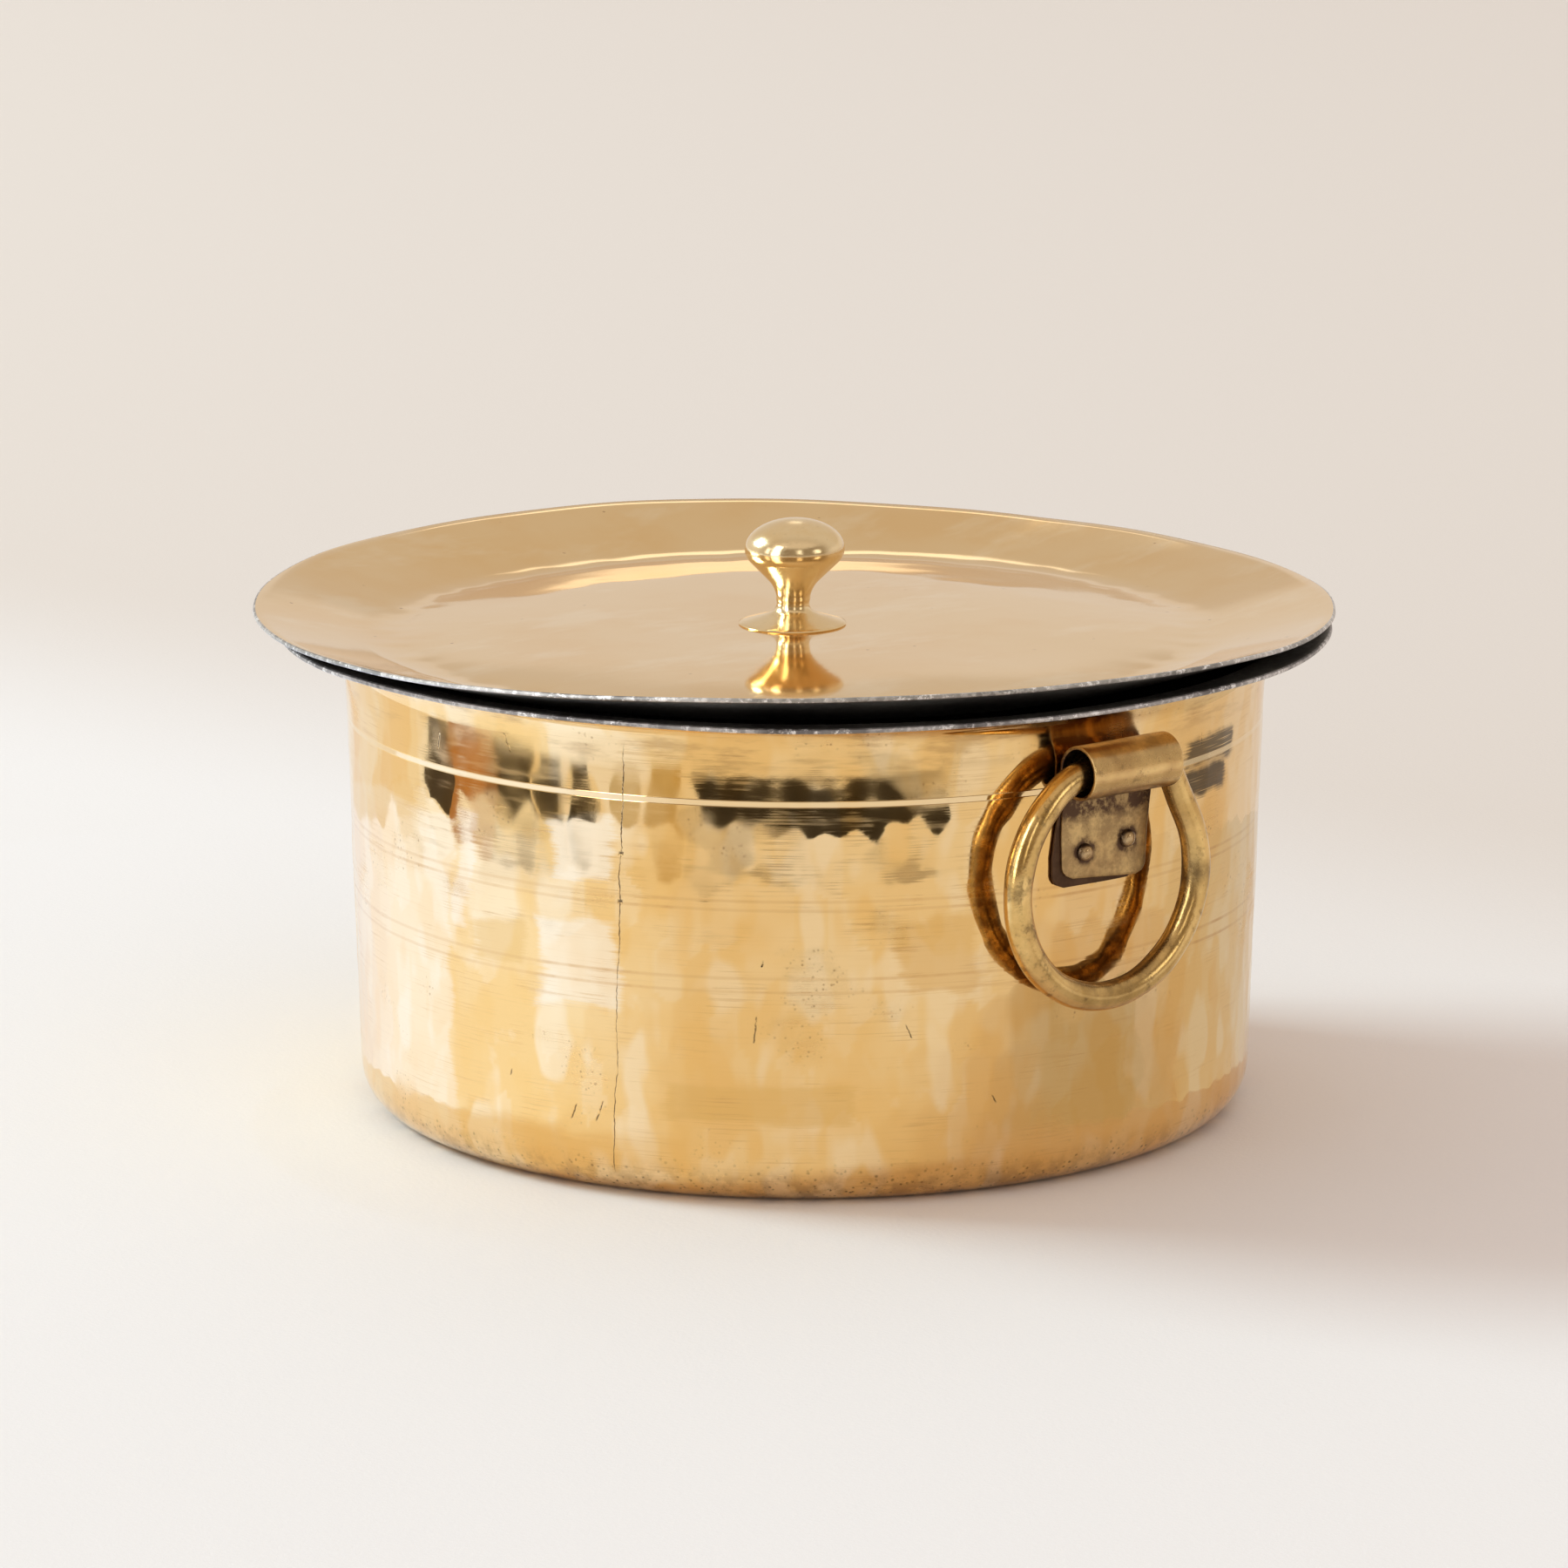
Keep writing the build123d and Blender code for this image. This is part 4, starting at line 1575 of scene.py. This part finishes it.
@dataclass
class Studio:
    """Pale floor, soft light from the left, mirrored cards and the camera."""

    floor_colour: Colour = (0.87, 0.84, 0.81)
    wall_colour: Colour = (0.745, 0.672, 0.604)
    mirrored_wall: Colour = (0.775, 0.70, 0.63)
    upper_wall: Colour = (0.68, 0.60, 0.52)
    ceiling_colour: Colour = (0.72, 0.62, 0.52)
    fill_colour: Colour = (0.785, 0.70, 0.66)
    room_colour: Colour = (0.31, 0.245, 0.175)
    lamp_colour: Colour = (0.68, 0.90, 1.0)
    lamp_power: float = 366.0
    lamp_distance: float = 7.0
    lamp_size: float = 2.45
    lamp_height: float = radians(32.0)
    lamp_behind: float = radians(19.0)
    camera_distance: float = 2.170
    camera_height: float = 0.573
    camera_pitch: float = radians(12.56)
    camera_yaw: float = radians(0.155)
    lens: float = 180.0
    sensor: float = 36.0
    floor_radius: float = 7.0
    floor_drop: float = 0.05 * MM
    mirror_radius: float = 0.1295
    card_height: float = 0.5 * MM
    shine_colour: Colour = (1.45, 1.36, 1.22)
    cards: tuple[Card, ...] = (
        Card("dark_card_front", -13.7, 16.9, 0.366, 0.62, (0.045, 0.037, 0.026)),
        Card("dark_card_left", -54.2, -50.2, 0.378, 0.62, (0.085, 0.068, 0.05)),
        Card("brown_card", -50.2, -42.0, 0.363, 0.62, (0.52, 0.27, 0.12)),
        Card("dark_card_left_front", -42.0, -35.2, 0.363, 0.60, (0.06, 0.05, 0.036)),
        Card("dark_tooth_first", -34.2, -31.2, 0.366, 0.60, (0.06, 0.05, 0.036)),
        Card("dark_tooth_second", -29.6, -27.3, 0.368, 0.60, (0.06, 0.05, 0.036)),
        Card("amber_spot_first", -23.4, -20.4, 0.362, 0.62, (0.70, 0.59, 0.40)),
        Card("amber_spot_second", -18.7, -15.0, 0.352, 0.62, (0.62, 0.50, 0.29)),
        LitCard("dim_patch_right", 46.0, 89.0, 0.05, 0.364, (0.66, 0.61, 0.55)),
        LitCard("dim_patch_front", 24.0, 56.0, 0.05, 0.19, (0.53, 0.47, 0.395)),
        LitCard("lit_patch_left", -86.0, -14.0, 0.05, 0.364, (1.13, 1.27, 1.60)),
    )
    windows: tuple[Window, ...] = (
        Window(-46.0, 17.0, 24.0, 46.0, (5.0, 5.2, 5.3)),
        Window(-68.0, 8.0, 18.0, 26.0, (2.6, 2.6, 2.6)),
        Window(11.0, 9.0, 20.0, 24.0, (1.9, 1.8, 1.6)),
        Window(55.0, 12.0, 16.0, 18.0, (2.2, 2.1, 1.9)),
    )

    def build(self) -> None:
        """Makes the floor, the cards, the lights and the camera."""
        self.floor()
        for card in self.cards:
            self.lay(card)
        self.world()
        self.lamp()
        self.camera()

    def floor(self) -> None:
        """Lays a wide floor that turns into the backdrop's colour behind the pot and, as painted dimmer
        light, towards its right.
        """
        clear_selection()
        place = (0, 0, -self.floor_drop)
        bpy.ops.mesh.primitive_circle_add(
            vertices=96, radius=self.floor_radius, fill_type="NGON", location=place
        )
        floor = bpy.context.object
        floor.name = "floor"
        paint = Paint("pale_floor")
        # The turn towards the right paints the dimmer light on the floor there
        turn = (paint.along(TO_RIGHT) * 0.8 - paint.along(TO_CAMERA)).step(190.0, 560.0)
        grain = paint.noise(1.4, 3.0, 0.6)
        base = paint.mix(turn, self.floor_colour, self.wall_colour)
        base = paint.mix(grain.step(0.3, 0.8) * 0.03, base, (0.6, 0.55, 0.5))
        values = {"Base Color": base, "Roughness": 0.8, "Specular IOR Level": 0.15}
        values["Normal"] = paint.bump((grain - 0.5) * 0.08)
        paint.surface(paint.node("ShaderNodeBsdfPrincipled", {}, values))
        floor.data.materials.append(paint.material)

    def lay(self, card: Card) -> None:
        """Lays one card where the wall mirrors it."""
        clear_selection()
        bpy.ops.mesh.primitive_grid_add(x_subdivisions=24, y_subdivisions=2, size=2)
        made = bpy.context.object
        made.name = card.name
        points = points_of(made)
        bearing = np.radians(card.first + (card.last - card.first) * (points[:, 0] + 1) / 2)
        reach = card.near + (card.far - card.near) * (points[:, 1] + 1) / 2
        right = self.mirror_radius * np.sin(bearing) + reach * np.sin(2 * bearing)
        away = -self.mirror_radius * np.cos(bearing) - reach * np.cos(2 * bearing)
        laid = right[:, None] * TO_RIGHT - away[:, None] * TO_CAMERA
        laid[:, 2] = self.card_height
        set_points(made, laid)
        paint = Paint(card.name)
        if isinstance(card, LitCard):
            share = (bearing - bearing.min()) / np.ptp(bearing)
            mark_points(made, "glow", part_way(1 - share, card.fade) * part_way(share, card.fade))
            glow = paint.node("ShaderNodeEmission", {}, {"Color": (*card.colour, 1.0)})
            clear = paint.node("ShaderNodeBsdfTransparent")
            shader = paint.node("ShaderNodeMixShader", {}, {0: paint.attribute("glow")})
            paint.tree.links.new(clear.outputs[0], shader.inputs[1])
            paint.tree.links.new(glow.outputs[0], shader.inputs[2])
        else:
            cloth = paint.noise(60.0, 3.0)
            darker = tuple(0.5 * part for part in card.colour)
            base = paint.mix(cloth.step(0.3, 0.7) * 0.4, card.colour, darker)
            values = {"Base Color": base, "Roughness": 0.9, "Specular IOR Level": 0.0}
            shader = paint.node("ShaderNodeBsdfPrincipled", {}, values)
        paint.surface(shader)
        made.data.materials.append(paint.material)
        made.visible_camera = False
        made.visible_shadow = False
        made.visible_diffuse = False

    def world(self) -> None:
        """Surrounds the pot with the backdrop, a dim room with a window, and a plain fill light."""
        world = bpy.data.worlds.new("studio")
        bpy.context.scene.world = world
        world.use_nodes = True
        paint = Paint.on_tree(world.node_tree, "ShaderNodeOutputWorld")
        forward = paint.along(TO_CAMERA)
        right = paint.along(TO_RIGHT)
        to_degrees = 180 / pi
        bearing = right.angle_to(forward) * to_degrees
        height = paint.z.angle_to((forward * forward + right * right).root()) * to_degrees
        room = forward.step(-150.0, 450.0)
        seen = paint.mix(height.step(13.5, 16.5), self.mirrored_wall, self.upper_wall)
        shine = abs(bearing).step(175.3, 177.3) * height.near(31.5, 3.0, 5.0)
        seen = paint.mix(shine, seen, self.shine_colour)
        seen = paint.mix(room, seen, self.room_colour)
        seen = paint.mix(room * height.step(34.0, 44.0), seen, self.ceiling_colour)
        for window in self.windows:
            pane = bearing.near(window.bearing, window.width / 2 - 0.8, window.width / 2 + 0.8)
            pane = pane * height.near(window.height, window.rise / 2 - 1.5, window.rise / 2 + 1.5)
            seen = paint.mix(pane, seen, window.colour)
        path = paint.node("ShaderNodeLightPath")
        camera_ray = Wire(paint, path.outputs["Is Camera Ray"])
        glossy_ray = Wire(paint, path.outputs["Is Glossy Ray"])
        colour = paint.mix(glossy_ray, self.fill_colour, seen)
        colour = paint.mix(camera_ray, colour, self.wall_colour)
        paint.surface(paint.node("ShaderNodeBackground", {}, {"Color": colour}))

    def lamp(self) -> None:
        """Hangs the window light to the left of the pot and a little behind it."""
        level = cos(self.lamp_height) * self.lamp_distance
        height = sin(self.lamp_height) * self.lamp_distance
        place = studio_point(-level * cos(self.lamp_behind), level * sin(self.lamp_behind), height)
        light = bpy.data.lights.new("window_light", "AREA")
        light.shape = "SQUARE"
        light.size = self.lamp_size
        light.energy = self.lamp_power
        light.color = self.lamp_colour
        lamp = bpy.data.objects.new("window_light", light)
        lamp.matrix_world = Matrix.Translation(place) @ place.to_track_quat("Z", "Y").to_matrix().to_4x4()
        bpy.context.scene.collection.objects.link(lamp)

    def camera(self) -> None:
        """Sets the camera at the photograph's height, distance and bearing."""
        data = bpy.data.cameras.new("camera")
        data.lens = self.lens
        data.sensor_width = self.sensor
        camera = bpy.data.objects.new("camera", data)
        camera.location = studio_point(0.0, -self.camera_distance, self.camera_height)
        camera.rotation_euler = (pi / 2 - self.camera_pitch, 0.0, CAMERA_BEARING + pi / 2 + self.camera_yaw)
        bpy.context.scene.collection.objects.link(camera)
        bpy.context.scene.camera = camera


def main() -> None:
    """Builds the pot, its lid and its handles in the studio, and reports each piece."""
    logging.basicConfig(level=logging.INFO, format="%(name)s %(relativeCreated)d: %(message)s")
    pot_low, pot_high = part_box("pot_body")
    body = PotBody(height=pot_high.z - pot_low.z)
    lid = Lid()
    pieces = [body.build(), lid.build(), *Knob(lid).build()]
    for side in Side:
        pieces += Handle(side, body).build()
    for piece in pieces:
        log.info("%s: %d faces", piece.name, len(piece.data.polygons))
    Studio().build()
    scene = bpy.context.scene
    scene.view_settings.view_transform = "Standard"


if __name__ == "__main__":
    main()
